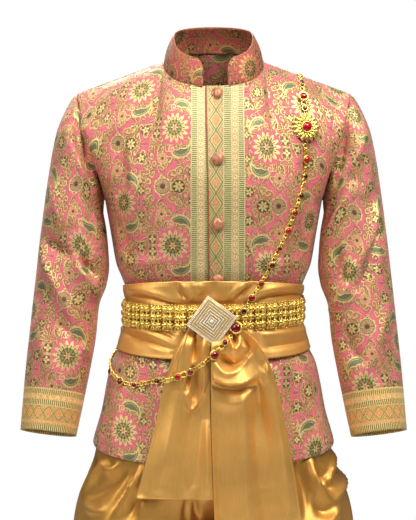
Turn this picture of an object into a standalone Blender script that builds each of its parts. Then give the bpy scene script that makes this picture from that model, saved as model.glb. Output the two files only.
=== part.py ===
"""A Thai groom's outfit (chut thai), hollow and in the pose in which it is worn.

A stand-collar brocade jacket, a satin sash with two tails, a linked belt with a square
buckle, a jewelled shoulder chain with its brooch, and a satin chong kraben, the wrapped
and tucked cloth that covers the legs to the calf.

Metres, +Z up. The front faces -Y and the wearer's left is +X. The origin lies midway
between the neck ends of the two shoulder seams, where the wearer's shoulders carry it.
"""

import math
from collections import namedtuple

import bpy
import numpy as np
from mathutils import Vector
from mathutils.bvhtree import BVHTree

# ---------------------------------------------------------------- driving dimensions

SEAM = 0.0003  # between two pieces that are sewn or lie together
ARMHOLE_SEAM = 0.0004  # a sleeve's edge is curved, so it stands off a little more
BROCADE = 0.0016  # jacket wall
COLLAR_CLOTH = 0.0022
SATIN = 0.0015
SQUARE = 2.35  # power of the body's superellipse: 2 is an ellipse, more is boxier

ARMPIT_Z = -0.235
HEM_SIDE_Z = -0.639
HEM_DIP = 0.026  # how much lower the hem is at the front and back centre

NECK_HALF_WIDTH = 0.0835
NECK_FRONT, NECK_BACK = 0.078, 0.064  # from the origin's plane to the neckline
NECK_FRONT_Z, NECK_BACK_Z = -0.042, 0.016
NECK_SQUARE = 2.5
SHOULDER = Vector((0.231, -0.003, -0.054))  # outer end of the shoulder seam

LAP = 0.0088  # the left front runs this far past the centre
UNDERLAP = 0.0125  # and the right front this far the other way, beneath it
COLLAR_ENDS = (0.0132, 0.0178)  # right and left of the centre
COLLAR_HEIGHT, COLLAR_CORNER = 0.044, 0.022  # its front corners are rounded
COLLAR_LEAN = 0.0165  # how far its top edge leans in towards the neck

BUTTON_X = 0.0068
BUTTONS_Z = (-0.055, -0.162, -0.268, -0.360, -0.466)
BUTTON_RADIUS, BUTTON_HEIGHT = 0.0102, 0.0095
NECK_BUTTON_RADIUS = 0.0068

BELT_Z, BELT_RISE = -0.4205, 0.0030  # its middle, and how far it rises to the wearer's left
BELT_HEIGHT, BELT_BAND, BELT_RELIEF = 0.041, 0.0022, 0.0022
BELT_LINKS = 40
BELT_CLEAR = 0.0007  # between its back and the furthest out of what it goes round

BUCKLE_X, BUCKLE_Z = -0.0034, -0.4250
BUCKLE_SIDE, BUCKLE_TURN = 0.0600, math.radians(8.5)  # from standing on its corner

BROOCH_RADIUS, BROOCH_HEIGHT, BROOCH_PETALS = 0.0240, 0.0090, 16

Section = namedtuple("Section", "z half_width front back")
BODY = [  # the jacket's outer rings from below the hem to the armpit
    Section(-0.900, 0.2380, 0.156, 0.162),
    Section(-0.800, 0.2360, 0.157, 0.162),
    Section(-0.740, 0.2270, 0.153, 0.157),
    Section(-0.690, 0.2130, 0.148, 0.150),
    Section(-0.639, 0.2045, 0.1425, 0.146),
    Section(-0.588, 0.1905, 0.135, 0.139),
    Section(-0.540, 0.1815, 0.129, 0.132),
    Section(-0.508, 0.1740, 0.1235, 0.125),
    Section(-0.488, 0.1640, 0.1165, 0.117),
    Section(-0.470, 0.1545, 0.110, 0.109),
    Section(-0.440, 0.1475, 0.105, 0.102),
    Section(-0.410, 0.1455, 0.103, 0.0985),
    Section(-0.388, 0.1475, 0.1045, 0.099),
    Section(-0.365, 0.1550, 0.1095, 0.103),
    Section(-0.340, 0.1650, 0.1155, 0.108),
    Section(-0.300, 0.1725, 0.121, 0.113),
    Section(-0.235, 0.1830, 0.126, 0.119),
]

Reach = namedtuple("Reach", "share outer_x outer_z inner_x inner_z middle_y depth tilt")
SLEEVE = [  # from the armhole to the cuff: its outer and inner lines, and its half depth
    Reach(0.00, 0.2310, -0.0540, 0.1836, -0.2350, 0.000, 0.062, 0.000),
    Reach(0.03, 0.2440, -0.0640, 0.1843, -0.2370, -0.001, 0.064, 0.000),
    Reach(0.07, 0.2525, -0.0800, 0.1853, -0.2400, -0.002, 0.066, 0.000),
    Reach(0.12, 0.2610, -0.1050, 0.1862, -0.2450, -0.005, 0.067, 0.000),
    Reach(0.18, 0.2685, -0.1380, 0.1862, -0.2530, -0.010, 0.067, 0.000),
    Reach(0.25, 0.2750, -0.1760, 0.1840, -0.2660, -0.016, 0.066, 0.000),
    Reach(0.33, 0.2815, -0.2200, 0.1805, -0.2850, -0.022, 0.064, 0.000),
    Reach(0.41, 0.2875, -0.2640, 0.1780, -0.3100, -0.026, 0.062, 0.000),
    Reach(0.50, 0.2940, -0.3130, 0.1760, -0.3450, -0.028, 0.059, 0.002),
    Reach(0.58, 0.2990, -0.3570, 0.1800, -0.3740, -0.030, 0.057, 0.004),
    Reach(0.66, 0.3045, -0.4050, 0.1925, -0.4100, -0.034, 0.056, 0.006),
    Reach(0.75, 0.3095, -0.4560, 0.1975, -0.4600, -0.040, 0.055, 0.008),
    Reach(0.84, 0.3150, -0.5130, 0.2070, -0.5150, -0.047, 0.053, 0.010),
    Reach(0.92, 0.3195, -0.5640, 0.2175, -0.5650, -0.054, 0.051, 0.011),
    Reach(1.00, 0.3240, -0.6160, 0.2305, -0.6270, -0.062, 0.048, 0.012),
]

Wrap = namedtuple("Wrap", "rise out front_out")
SASH = [  # bottom edge to top edge: off the jacket, and how much more at front centre
    Wrap(0.00, 0.0052, 0.0090),
    Wrap(0.30, 0.0046, 0.0110),
    Wrap(0.55, 0.0036, 0.0120),
    Wrap(0.75, 0.0036, 0.0120),
    Wrap(1.00, 0.0040, 0.0100),
]
SASH_TOP = (-0.3790, 0.0175)  # height at the sides, and its rise at front centre
SASH_BOTTOM = (-0.4800, -0.0100)

Hang = namedtuple("Hang", "z left right depth")
TAIL_RIGHT = [  # the wearer's right tail, bottom to top: its two edges, how far forward
    Hang(-0.716, -0.1270, -0.0060, 0.130),
    Hang(-0.673, -0.1155, -0.0070, 0.130),
    Hang(-0.610, -0.0990, -0.0080, 0.131),
    Hang(-0.542, -0.0840, -0.0095, 0.133),
    Hang(-0.486, -0.0680, -0.0100, 0.136),
    Hang(-0.465, -0.0590, -0.0090, 0.136),
    Hang(-0.4535, -0.0520, -0.0080, 0.132),
    Hang(-0.4445, -0.0460, -0.0070, 0.1275),
    Hang(-0.430, -0.0340, -0.0060, 0.1262),
]
TAIL_LEFT = [  # the wearer's left tail
    Hang(-0.880, 0.0060, 0.1640, 0.130),
    Hang(-0.750, 0.0010, 0.1435, 0.130),
    Hang(-0.661, -0.0020, 0.1300, 0.132),
    Hang(-0.593, -0.0040, 0.1165, 0.134),
    Hang(-0.530, -0.0050, 0.1030, 0.138),
    Hang(-0.492, -0.0045, 0.0900, 0.141),
    Hang(-0.468, -0.0040, 0.0760, 0.139),
    Hang(-0.4535, -0.0035, 0.0620, 0.133),
    Hang(-0.4445, -0.0030, 0.0500, 0.1275),
    Hang(-0.430, -0.0020, 0.0320, 0.1262),
]

Leg = namedtuple("Leg", "z inner outer front back")
KRABEN_LEG = [  # closed rings of one leg, from the hem at the calf to the crotch
    Leg(-1.065, 0.0440, 0.1830, 0.088, 0.092),
    Leg(-1.030, 0.0380, 0.1930, 0.096, 0.100),
    Leg(-0.980, 0.0280, 0.2110, 0.111, 0.117),
    Leg(-0.920, 0.0180, 0.2300, 0.130, 0.136),
    Leg(-0.860, 0.0090, 0.2400, 0.143, 0.149),
    Leg(-0.815, 0.0010, 0.2400, 0.149, 0.155),
]
CROTCH = (-0.690, -0.815)  # the half rings close into legs between these heights
Inset = namedtuple("Inset", "z out")
KRABEN_OUT = [  # the kraben's surface against the jacket's rings
    Inset(-0.900, 0.0000),
    Inset(-0.760, 0.0000),
    Inset(-0.700, -0.0010),
    Inset(-0.668, -0.0060),
    Inset(-0.600, -0.0085),
    Inset(-0.500, -0.0070),
    Inset(-0.430, -0.0029),
    Inset(-0.395, -0.0029),
]
Stop = namedtuple("Stop", "x z size")
CHAIN_FRONT = [  # from the brooch to the right hip, seen from the front; size is the
    # radius of the jewel set there, or 0 for plain links
    Stop(0.1500, -0.1390, 0.0),
    Stop(0.1512, -0.1640, 0.0055),
    Stop(0.1488, -0.1913, 0.0040),
    Stop(0.1416, -0.2227, 0.0042),
    Stop(0.1324, -0.2504, 0.0045),
    Stop(0.1209, -0.2802, 0.0048),
    Stop(0.1070, -0.3090, 0.0035),
    Stop(0.0950, -0.3358, 0.0045),
    Stop(0.0768, -0.3662, 0.0042),
    Stop(0.0620, -0.3886, 0.0050),
    Stop(0.0485, -0.4092, 0.0040),
    Stop(0.0377, -0.4372, 0.0078),
    Stop(0.0190, -0.4599, 0.0042),
    Stop(-0.0008, -0.4794, 0.0062),
    Stop(-0.0258, -0.4998, 0.0),
    Stop(-0.0396, -0.5073, 0.0050),
    Stop(-0.0583, -0.5151, 0.0050),
    Stop(-0.0920, -0.5265, 0.0040),
    Stop(-0.1306, -0.5355, 0.0038),
    Stop(-0.1530, -0.5321, 0.0052),
]
Side = namedtuple("Side", "turn z size")
CHAIN_SIDE = [  # round the right hip: degrees from the front centre
    Side(-72, -0.5200, 0.0048),
    Side(-88, -0.5050, 0.0),
    Side(-104, -0.4930, 0.0045),
    Side(-120, -0.4790, 0.0),
]
CHAIN_BACK = [  # on up the back to the left shoulder, seen from the front
    Stop(-0.1080, -0.4560, 0.0045),
    Stop(-0.0800, -0.4280, 0.0),
    Stop(-0.0540, -0.3980, 0.0045),
    Stop(-0.0280, -0.3640, 0.0),
    Stop(-0.0030, -0.3300, 0.0045),
    Stop(0.0220, -0.2940, 0.0),
    Stop(0.0460, -0.2570, 0.0045),
    Stop(0.0690, -0.2190, 0.0),
    Stop(0.0900, -0.1810, 0.0045),
    Stop(0.1090, -0.1410, 0.0),
    Stop(0.1250, -0.1000, 0.0045),
    Stop(0.1370, -0.0640, 0.0),
]
Over = namedtuple("Over", "x y size")
CHAIN_OVER = [  # over the shoulder, seen from above
    Over(0.1430, 0.0220, 0.0042),
    Over(0.1450, -0.0060, 0.0),
    Over(0.1460, -0.0330, 0.0035),
]
CHAIN_DOWN = [  # and down to the brooch
    Stop(0.1475, -0.0480, 0.0060),
    Stop(0.1500, -0.0745, 0.0035),
    Stop(0.1510, -0.0830, 0.0),
]
CHAIN_RADIUS = 0.0020
BROOCH_AT = (0.1514, -0.1112)

# A fold runs between two places on its sheet, given as shares of the sheet across and up,
# and may sag between them. Sag, width and height are in metres; a trough's height is < 0.
Fold = namedtuple("Fold", "across0 up0 across1 up1 sag width height")
FRONT_FOLDS = [  # the wearer's left front, from the centre to the side
    Fold(0.80, 0.94, 0.92, 0.66, 0.0, 0.020, -0.0045),
    Fold(0.66, 0.92, 0.84, 0.62, 0.0, 0.018, 0.0030),
    Fold(0.88, 0.64, 0.60, 0.48, 0.0, 0.016, 0.0040),
    Fold(0.86, 0.54, 0.50, 0.44, 0.0, 0.012, -0.0030),
    Fold(0.80, 0.14, 0.66, -0.05, 0.0, 0.022, 0.0040),
]
BACK_FOLDS = [
    Fold(0.09, 0.86, 0.17, 0.60, 0.0, 0.020, -0.0045),
    Fold(0.91, 0.86, 0.83, 0.60, 0.0, 0.020, -0.0045),
    Fold(0.14, 0.60, 0.30, 0.47, 0.0, 0.018, 0.0040),
    Fold(0.86, 0.60, 0.70, 0.47, 0.0, 0.018, 0.0040),
    Fold(0.40, 0.15, 0.36, -0.05, 0.0, 0.024, 0.0035),
    Fold(0.60, 0.15, 0.64, -0.05, 0.0, 0.024, 0.0035),
]
SLEEVE_FOLDS = [  # across is the turn round the arm: 0.25 back, 0.5 underarm, 0.75 front
    Fold(0.74, 0.92, 0.60, 0.66, 0.0, 0.014, -0.0055),
    Fold(0.82, 0.86, 0.68, 0.58, 0.0, 0.015, 0.0045),
    Fold(0.62, 0.58, 0.90, 0.50, 0.0, 0.013, -0.0035),
    Fold(0.60, 0.44, 0.92, 0.34, 0.0, 0.015, 0.0035),
    Fold(0.60, 0.26, 0.90, 0.18, 0.0, 0.013, -0.0025),
    Fold(0.26, 0.90, 0.40, 0.66, 0.0, 0.016, -0.0050),
    Fold(0.12, 0.52, 0.40, 0.42, 0.0, 0.016, 0.0035),
]
SASH_FOLDS = [  # across is the turn round the waist from front centre
    Fold(0.03, 0.66, 0.18, 0.88, 0.0, 0.008, 0.0030),
    Fold(0.97, 0.66, 0.82, 0.88, 0.0, 0.008, 0.0030),
    Fold(0.03, 0.30, 0.22, 0.20, 0.0, 0.008, 0.0030),
    Fold(0.97, 0.30, 0.78, 0.20, 0.0, 0.008, 0.0030),
]
TAIL_RIGHT_FOLDS = [
    Fold(0.22, 0.88, 0.16, 0.10, 0.0, 0.013, 0.0050),
    Fold(0.52, 0.90, 0.46, 0.40, 0.0, 0.011, -0.0040),
    Fold(0.80, 0.88, 0.78, 0.00, 0.0, 0.013, 0.0045),
]
TAIL_LEFT_FOLDS = [
    Fold(0.30, 0.93, 0.90, 0.84, 0.0, 0.009, 0.0070),
    Fold(0.92, 0.88, 0.80, 0.74, 0.0, 0.012, 0.0080),
    Fold(0.04, 0.775, 0.84, 0.80, 0.016, 0.010, 0.0090),
    Fold(0.40, 0.88, 0.46, 0.82, 0.0, 0.020, -0.0060),
    Fold(0.66, 0.68, 0.74, 0.02, 0.0, 0.016, -0.0050),
    Fold(0.28, 0.60, 0.26, 0.00, 0.0, 0.020, 0.0040),
]
LEG_FOLDS = [  # cowls: across is the turn round the leg from the front to the back seam
    Fold(0.18, 0.64, 0.54, 0.61, 0.055, 0.022, 0.0120),
    Fold(0.16, 0.57, 0.56, 0.54, 0.070, 0.020, -0.0100),
    Fold(0.15, 0.50, 0.57, 0.46, 0.080, 0.023, 0.0120),
    Fold(0.14, 0.41, 0.57, 0.38, 0.075, 0.021, -0.0090),
    Fold(0.13, 0.32, 0.56, 0.28, 0.060, 0.024, 0.0090),
    Fold(0.88, 0.60, 0.58, 0.60, 0.055, 0.024, 0.0090),
    Fold(0.88, 0.49, 0.58, 0.49, 0.070, 0.022, -0.0080),
    Fold(0.88, 0.38, 0.58, 0.38, 0.070, 0.024, 0.0090),
    Fold(0.07, 0.62, 0.09, 0.26, 0.0, 0.016, 0.0070),
]

# ---------------------------------------------------------------- small tools


def ease(value, low=0.0, high=1.0):
    """0 up to low, 1 from high on, and smooth between them."""
    t = np.clip((np.asarray(value, float) - low) / (high - low), 0, 1)
    return t * t * (3 - 2 * t)


def read(table, column, at):
    """A smooth curve through one column of a table, over its first column."""
    xs = np.array([row[0] for row in table], float)
    ys = np.array([getattr(row, column) for row in table], float)
    step = np.diff(xs)
    slope = np.diff(ys) / step
    both = slope[:-1] * slope[1:]
    mean = 2 * both / np.where(both > 0, slope[:-1] + slope[1:], 1)
    bend = np.concatenate([[slope[0]], np.where(both > 0, mean, 0), [slope[-1]]])
    at = np.clip(np.asarray(at, float), xs[0], xs[-1])
    i = np.clip(np.searchsorted(xs, at, side="right") - 1, 0, len(step) - 1)
    t = (at - xs[i]) / step[i]
    rest = 1 - t
    return (
        ys[i] * (1 + 2 * t) * rest**2
        + bend[i] * step[i] * t * rest**2
        + ys[i + 1] * t**2 * (3 - 2 * t)
        - bend[i + 1] * step[i] * t**2 * rest
    )


def power(value, exponent):
    """A power that keeps the sign."""
    return np.sign(value) * np.abs(value) ** exponent


def point(x, y, z):
    """x, y and z as an array of points."""
    return np.stack(np.broadcast_arrays(x, y, z), axis=-1).astype(float)


def unit(vectors):
    return vectors / np.maximum(np.linalg.norm(vectors, axis=-1, keepdims=True), 1e-12)


def normals(sheet, tube=False):
    """The outward normals of a sheet whose rows go up and whose columns go round."""
    if tube:
        across = np.roll(sheet, -1, axis=1) - np.roll(sheet, 1, axis=1)
    else:
        across = np.gradient(sheet, axis=1)
    return unit(np.cross(across, np.gradient(sheet, axis=0)))


def folded(sheet, folds, tube=False, sides=0.1, top=(0.94, 1.0)):
    """The sheet with its folds raised or sunk along its normals. They die away towards
    its sides, over that share of it, and between those two shares of its height."""
    rows, columns = sheet.shape[:2]
    wide = np.linalg.norm(np.diff(sheet, axis=1), axis=-1).sum(axis=1).mean()
    high = np.linalg.norm(np.diff(sheet, axis=0), axis=-1).sum(axis=0).mean()
    up, across = np.meshgrid(
        np.linspace(0, 1, rows),
        np.arange(columns) / (columns if tube else columns - 1),
        indexing="ij",
    )
    lift = np.zeros((rows, columns))
    for fold in folds:
        run = np.array([(fold.across1 - fold.across0) * wide, (fold.up1 - fold.up0) * high])
        length = np.hypot(*run)
        away_x, away_y = (across - fold.across0) * wide, (up - fold.up0) * high
        along = (away_x * run[0] + away_y * run[1]) / length**2
        away_y = away_y + fold.sag * np.clip(4 * along * (1 - along), 0, 1)
        beside = (away_x * run[1] - away_y * run[0]) / length
        ends = ease(along, -0.10, 0.25) * (1 - ease(along, 0.75, 1.10))
        lift += fold.height * ends * np.exp(-((beside / fold.width) ** 2))
    lift *= 1 - ease(up, *top)
    if not tube:
        lift *= ease(across, 0, sides) * (1 - ease(across, 1 - sides, 1))
    return sheet + normals(sheet, tube) * lift[..., None]


# ---------------------------------------------------------------- meshes


def material(name, colour, roughness, metallic=0.0):
    made = bpy.data.materials.new(name)
    made.use_nodes = True
    shader = made.node_tree.nodes["Principled BSDF"]
    shader.inputs["Base Color"].default_value = (*colour, 1)
    shader.inputs["Roughness"].default_value = roughness
    shader.inputs["Metallic"].default_value = metallic
    made.diffuse_color = (*colour, 1)
    return made


def new_object(name, points, faces, finish):
    mesh = bpy.data.meshes.new(name)
    mesh.from_pydata([tuple(p) for p in points], [], faces)
    mesh.materials.append(finish)
    mesh.shade_smooth()
    mesh.set_sharp_from_angle(angle=math.radians(40))
    made = bpy.data.objects.new(name, mesh)
    bpy.context.scene.collection.objects.link(made)
    return made


def shell(name, outer, inner, finish, tube=False):
    """One closed solid between two sheets with the same rows and columns. Both are cut
    into triangles along the same diagonals, so a warped wall never crosses itself."""
    rows, columns = outer.shape[:2]
    count = rows * columns
    points = np.concatenate([outer.reshape(-1, 3), inner.reshape(-1, 3)])
    spans = columns if tube else columns - 1

    def at(row, column):
        return row * columns + column % columns

    faces = []
    for r in range(rows - 1):
        for c in range(spans):
            corners = [at(r, c), at(r, c + 1), at(r + 1, c + 1), at(r + 1, c)]
            rising, falling = points[corners[:2]] - points[corners[2:]]
            if np.linalg.norm(rising) > np.linalg.norm(falling):
                corners = corners[1:] + corners[:1]
            for i, j, k in ((0, 1, 2), (0, 2, 3)):
                faces.append((corners[i], corners[j], corners[k]))
                faces.append((count + corners[k], count + corners[j], count + corners[i]))
    rim = [(at(0, c + 1), at(0, c)) for c in range(spans)]
    rim += [(at(rows - 1, c), at(rows - 1, c + 1)) for c in range(spans)]
    if not tube:
        rim += [(at(r, 0), at(r + 1, 0)) for r in range(rows - 1)]
        rim += [(at(r + 1, columns - 1), at(r, columns - 1)) for r in range(rows - 1)]
    faces += [(a, b, count + b, count + a) for a, b in rim]
    return new_object(name, points, faces, finish)


def wall(name, sheet, thickness, finish, tube=False, lean=None):
    """A sheet of cloth as a solid: the sheet is its outer face, and its inner one lies
    in from it against lean, or against its own normals."""
    if lean is None:
        lean = normals(sheet, tube)
    return shell(name, sheet, sheet - lean * thickness, finish, tube)


def capped(name, rings, finish):
    """A solid of rings, back to front, each turning clockwise seen from its front end."""
    rings = np.asarray(rings, float)
    rows, columns = rings.shape[:2]
    points = list(rings.reshape(-1, 3)) + [rings[0].mean(axis=0), rings[-1].mean(axis=0)]
    faces = []
    for c in range(columns):
        n = (c + 1) % columns
        for r in range(rows - 1):
            a, b = r * columns, (r + 1) * columns
            faces.append((a + c, b + c, b + n, a + n))
        faces.append((rows * columns, c, n))
        faces.append((rows * columns + 1, (rows - 1) * columns + n, (rows - 1) * columns + c))
    return new_object(name, points, faces, finish)


def round_a_line(profile, outline, place, away, turn=0.0):
    """Rings about a line along away: profile is (size, height) pairs, and outline the
    share of that size at each angle."""
    away = Vector(away).normalized()
    side = Vector((0, 0, 1)).cross(away).normalized()
    up = away.cross(side)
    angles = turn - np.linspace(0, 2 * math.pi, len(outline), endpoint=False)
    flat = [(r * math.cos(a), r * math.sin(a)) for r, a in zip(outline, angles)]
    return np.array([
        [Vector(place) + side * (size * x) + up * (size * y) + away * height for x, y in flat]
        for size, height in profile
    ])


def seat(name, tree, profile, outline, place, away, finish, turn=0.0):
    """A solid of rings that rests on what the tree holds, a seam's width over it."""
    away = Vector(away).normalized()
    rings = round_a_line(profile, outline, place, away, turn)
    inside = [(profile[0][0] * share, profile[0][1]) for share in np.linspace(0.1, 1, 10)]
    floor = round_a_line(inside, outline, place, away, turn)
    lift = lift_over(tree, np.concatenate([rings, floor]).reshape(-1, 3), away)
    capped(name, rings + np.array(away) * lift, finish)


# ---------------------------------------------------------------- the body's rings


def on_body(turn, z, out=0.0):
    """A point of the jacket's ring at height z. turn is 0 at the front centre and pi / 2
    at the wearer's left; out moves the point off the surface, level."""
    z = np.asarray(z, float)
    depth = np.where(np.cos(turn) > 0, read(BODY, "front", z), read(BODY, "back", z))
    width = read(BODY, "half_width", z)
    x = width * power(np.sin(turn), 2 / SQUARE)
    y = -depth * power(np.cos(turn), 2 / SQUARE)
    lean = point(
        power(x / width, SQUARE - 1) / width,
        power(y / depth, SQUARE - 1) / depth,
        0,
    )
    return point(x, y, z) + unit(lean) * np.asarray(out, float)[..., None]


def quarter(share):
    """The turn at a share of the way from the front centre to the side."""
    turns = np.linspace(0, math.pi / 2, 2001)
    ring = on_body(turns, ARMPIT_Z)
    along = np.concatenate([[0], np.cumsum(np.linalg.norm(np.diff(ring, axis=0), axis=1))])
    return np.interp(share, along / along[-1], turns)


# ---------------------------------------------------------------- jacket

NECK_SHARE = 0.40  # the part of a panel's top edge that is neckline and not shoulder
ARC = 0.25  # metres from the centre to the side seam at the armpit, near enough
YOKE = 0.20  # metres from the armpit's level to the shoulder seam, near enough
NECK_SHARES = np.array([0.115, 0.18, 0.25, 0.32, NECK_SHARE])
SHARES = np.concatenate([NECK_SHARES, np.linspace(NECK_SHARE, 1, 8)[1:]])
LOWER_ROWS, UPPER_ROWS = 11, 9
RISES = np.concatenate(
    [np.linspace(0, 1, LOWER_ROWS + 1), np.linspace(1, 2, UPPER_ROWS + 1)[1:]]
)


def neckline(share, face):
    """The neckline at a share of its length from the centre (0) to the shoulder seam (1);
    face is -1 in front. Past the centre the share is below 0."""
    reach = NECK_FRONT if face < 0 else NECK_BACK
    height = NECK_FRONT_Z if face < 0 else NECK_BACK_Z
    turns = np.linspace(0, math.pi / 2, 801)
    ahead = np.cos(turns) ** (2 / NECK_SQUARE)
    across = np.sin(turns) ** (2 / NECK_SQUARE)
    line = point(NECK_HALF_WIDTH * across, face * reach * ahead, height * ahead)
    along = np.concatenate([[0], np.cumsum(np.linalg.norm(np.diff(line, axis=0), axis=1))])
    size = np.abs(share) * along[-1]
    found = [np.interp(size, along, line[:, axis]) for axis in range(3)]
    return point(found[0] * np.where(share < 0, -1, 1), found[1], found[2])


def top_edge(share, face):
    """The upper edge of a panel: its neckline, then its shoulder seam."""
    size = np.abs(share)
    neck = neckline(np.clip(size / NECK_SHARE, 0, 1), face)
    along = np.clip((size - NECK_SHARE) / (1 - NECK_SHARE), 0, 1)[..., None]
    start = np.array([NECK_HALF_WIDTH, 0, 0])
    shoulder = start + along * (np.array(SHOULDER) - start)
    return np.where((size <= NECK_SHARE)[..., None], neck, shoulder)


def bodice(share, rise, face):
    """The jacket's front (face -1) or back (1) on the wearer's left. share is 0 at the
    centre and 1 at the side seam and armhole, and past the centre it is below 0.
    rise is 0 at the hem, 1 at the armpit and 2 at the neckline and shoulder seam."""
    share, rise = np.broadcast_arrays(np.asarray(share, float), np.asarray(rise, float))
    size = np.abs(share)
    turn = quarter(size) if face < 0 else math.pi - quarter(size)
    hem = HEM_SIDE_Z - HEM_DIP * (1 - size**2)
    lower = on_body(turn, hem + (ARMPIT_Z - hem) * np.clip(rise, 0, 1))

    foot, below = on_body(turn, ARMPIT_Z), on_body(turn, ARMPIT_Z - 0.02)
    edge = ease(size, 0.60, 1.0)  # how near the armhole is
    neck = 1 - ease(size, -0.05, 0.44)  # how near the neck is
    leave = (foot - below) / 0.02 * 0.21
    leave += point(0, face * 0.235 * edge, -0.05 * edge)
    reach = point(
        0.040 * edge,
        -face * (0.235 - 0.185 * neck + 0.015 * edge),
        0.035 + 0.13 * neck + 0.15 * edge,
    )
    t = np.clip(rise - 1, 0, 1)[..., None]
    upper = (
        foot * (1 + 2 * t) * (1 - t) ** 2
        + leave * t * (1 - t) ** 2
        + top_edge(share, face) * t**2 * (3 - 2 * t)
        - reach * t**2 * (1 - t)
    )
    made = np.where(rise[..., None] <= 1, lower, upper)
    made[..., 0] *= np.where(share < 0, -1, 1)
    return made


def mirrored(sheet):
    """The same sheet on the wearer's right, with its columns still going round."""
    return sheet[:, ::-1] * np.array([-1, 1, 1])


def panel(shares, face, folds=()):
    """A panel's sheet, and outward directions for its wall. It stops half a seam short
    of its neighbours, and there its wall lies midway between theirs and its own."""
    shares, rises = np.array(shares, float), RISES.copy()
    shares[-1] -= SEAM / 2 / ARC
    rises[-1] -= SEAM / 2 / YOKE
    wide, tall = np.append(shares, 1.05), np.append(rises, 2.10)
    share, rise = np.meshgrid(wide, tall)
    same = bodice(np.minimum(share, 1), np.minimum(rise, 2), face)
    other = bodice(1 - np.abs(share - 1), 2 - np.abs(rise - 2), -face)
    past = ((share > 1) | (rise > 2))[..., None]
    whole = np.where(past, other, same)
    sheet = folded(whole[:-1, :-1], folds)
    lean = normals(sheet)
    beyond = normals(whole)[:-1, :-1]
    lean[: LOWER_ROWS + 1, -1] = beyond[: LOWER_ROWS + 1, -1]
    seam = shares > NECK_SHARE - 0.001
    lean[-1, seam] = beyond[-1, seam]
    return sheet, lean * -face


def armhole(turn):
    """The armhole's edge: 0 is the shoulder, pi / 2 the back and pi the armpit."""
    rise = 1 + np.abs(1 - turn / math.pi)
    behind = (turn < math.pi)[..., None]
    return np.where(behind, bodice(1.0, rise, 1), bodice(1.0, rise, -1))


SLEEVE_SHARES = np.array([1.0, 0.94, 0.87, 0.80, 0.73, 0.66, 0.60, 0.54, 0.48, 0.42, 0.36,
                          0.30, 0.24, 0.185, 0.135, 0.09, 0.050, 0.0])


def sleeve(share, turn):
    """A point of the wearer's left sleeve, from the armhole (0) to the cuff (1)."""
    row = {name: read(SLEEVE, name, share) for name in Reach._fields[1:]}
    outer = point(row["outer_x"], row["middle_y"], row["outer_z"])
    inner = point(row["inner_x"], row["middle_y"], row["inner_z"])
    cos, sin = np.cos(turn)[..., None], np.sin(turn)[..., None]
    ring = (outer + inner) / 2 + cos * (outer - inner) / 2
    ring = ring + sin * point(0, row["depth"], -row["tilt"])
    at_hole = armhole(turn) + point(ARMHOLE_SEAM, 0, 0)
    joined = ease(share, 0, 0.15)[..., None]
    return at_hole * (1 - joined) + ring * joined


def make_jacket_and_sleeves(brocade):
    left = [-LAP / ARC, 0.015, COLLAR_ENDS[1] / ARC, *SHARES]
    right = [-UNDERLAP / ARC, 0.0, COLLAR_ENDS[0] / ARC, *SHARES]
    front, front_lean = panel(left, -1, FRONT_FOLDS)
    under, under_lean = panel(right, -1, FRONT_FOLDS)
    half, half_lean = panel([0, 0.06, *SHARES], 1)

    turns = 2 * math.pi * np.arange(2 * UPPER_ROWS) / (2 * UPPER_ROWS)
    turn, share = np.meshgrid(turns, SLEEVE_SHARES)
    arm = folded(sleeve(share, turn), SLEEVE_FOLDS, tube=True)
    arm_lean = normals(arm, tube=True)

    # round the armhole both walls lie the same way
    behind, before = half_lean[LOWER_ROWS:, -1], front_lean[LOWER_ROWS:, -1]
    hole = unit(np.concatenate([behind[::-1], before[1:-1]]) + arm_lean[-1])
    arm_lean[-1] = hole
    half_lean[LOWER_ROWS:, -1] = hole[: UPPER_ROWS + 1][::-1]
    for lean in (front_lean, under_lean):
        lean[LOWER_ROWS:-1, -1] = hole[UPPER_ROWS:]
        lean[-1, -1] = hole[0]

    tuck = 1 - ease(np.array(right), COLLAR_ENDS[0] / ARC, 0.10)
    depth = (BROCADE + 2 * SEAM) * tuck[None, :, None]
    under = under - under_lean * depth
    wall("jacket_front_left", front, BROCADE, brocade, lean=front_lean)
    wall("jacket_front_right", mirrored(under), BROCADE, brocade, lean=mirrored(under_lean))

    flip = np.array([-1, 1, 1])
    back = np.concatenate([half[:, ::-1], half[:, 1:] * flip], axis=1)
    back_lean = np.concatenate([half_lean[:, ::-1], half_lean[:, 1:] * flip], axis=1)
    wall("jacket_back", folded(back, BACK_FOLDS), BROCADE, brocade, lean=back_lean)

    wall("sleeve_left", arm, BROCADE, brocade, tube=True, lean=arm_lean)
    wall("sleeve_right", mirrored(arm), BROCADE, brocade, tube=True, lean=mirrored(arm_lean))


def make_collar(brocade):
    """A band from one front end round the back to the other, leaning in as it rises."""
    flip = np.array([-1, 1, 1])
    front = SHARES[: len(NECK_SHARES)] / NECK_SHARE
    right, left = (np.append(end / ARC / NECK_SHARE, front) for end in COLLAR_ENDS)
    back = np.append([0, 0.06 / NECK_SHARE], front)
    base = np.concatenate(
        [
            neckline(left, -1),
            neckline(back[-2::-1], 1),
            neckline(back[1:-1], 1) * flip,
            neckline(right[::-1], -1) * flip,
        ]
    )
    along = np.concatenate([[0], np.cumsum(np.linalg.norm(np.diff(base, axis=0), axis=1))])
    to_end = np.minimum(along, along[-1] - along)
    corner = 1 - np.clip(to_end / COLLAR_CORNER, 0, 1)
    height = COLLAR_HEIGHT * (0.42 + 0.58 * np.sqrt(1 - corner**2))
    inward = -unit(base * np.array([1, 1, 0]))
    rows = []
    for rise in np.linspace(0, 1, 5):
        lean = COLLAR_LEAN * (rise - 0.18 * math.sin(math.pi * rise)) * height / COLLAR_HEIGHT
        row = base + inward * lean[:, None]
        row[:, 2] += SEAM + height * rise
        rows.append(row)
    wall("collar", np.array(rows), COLLAR_CLOTH, brocade, lean=np.array([-inward] * 5))


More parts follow.
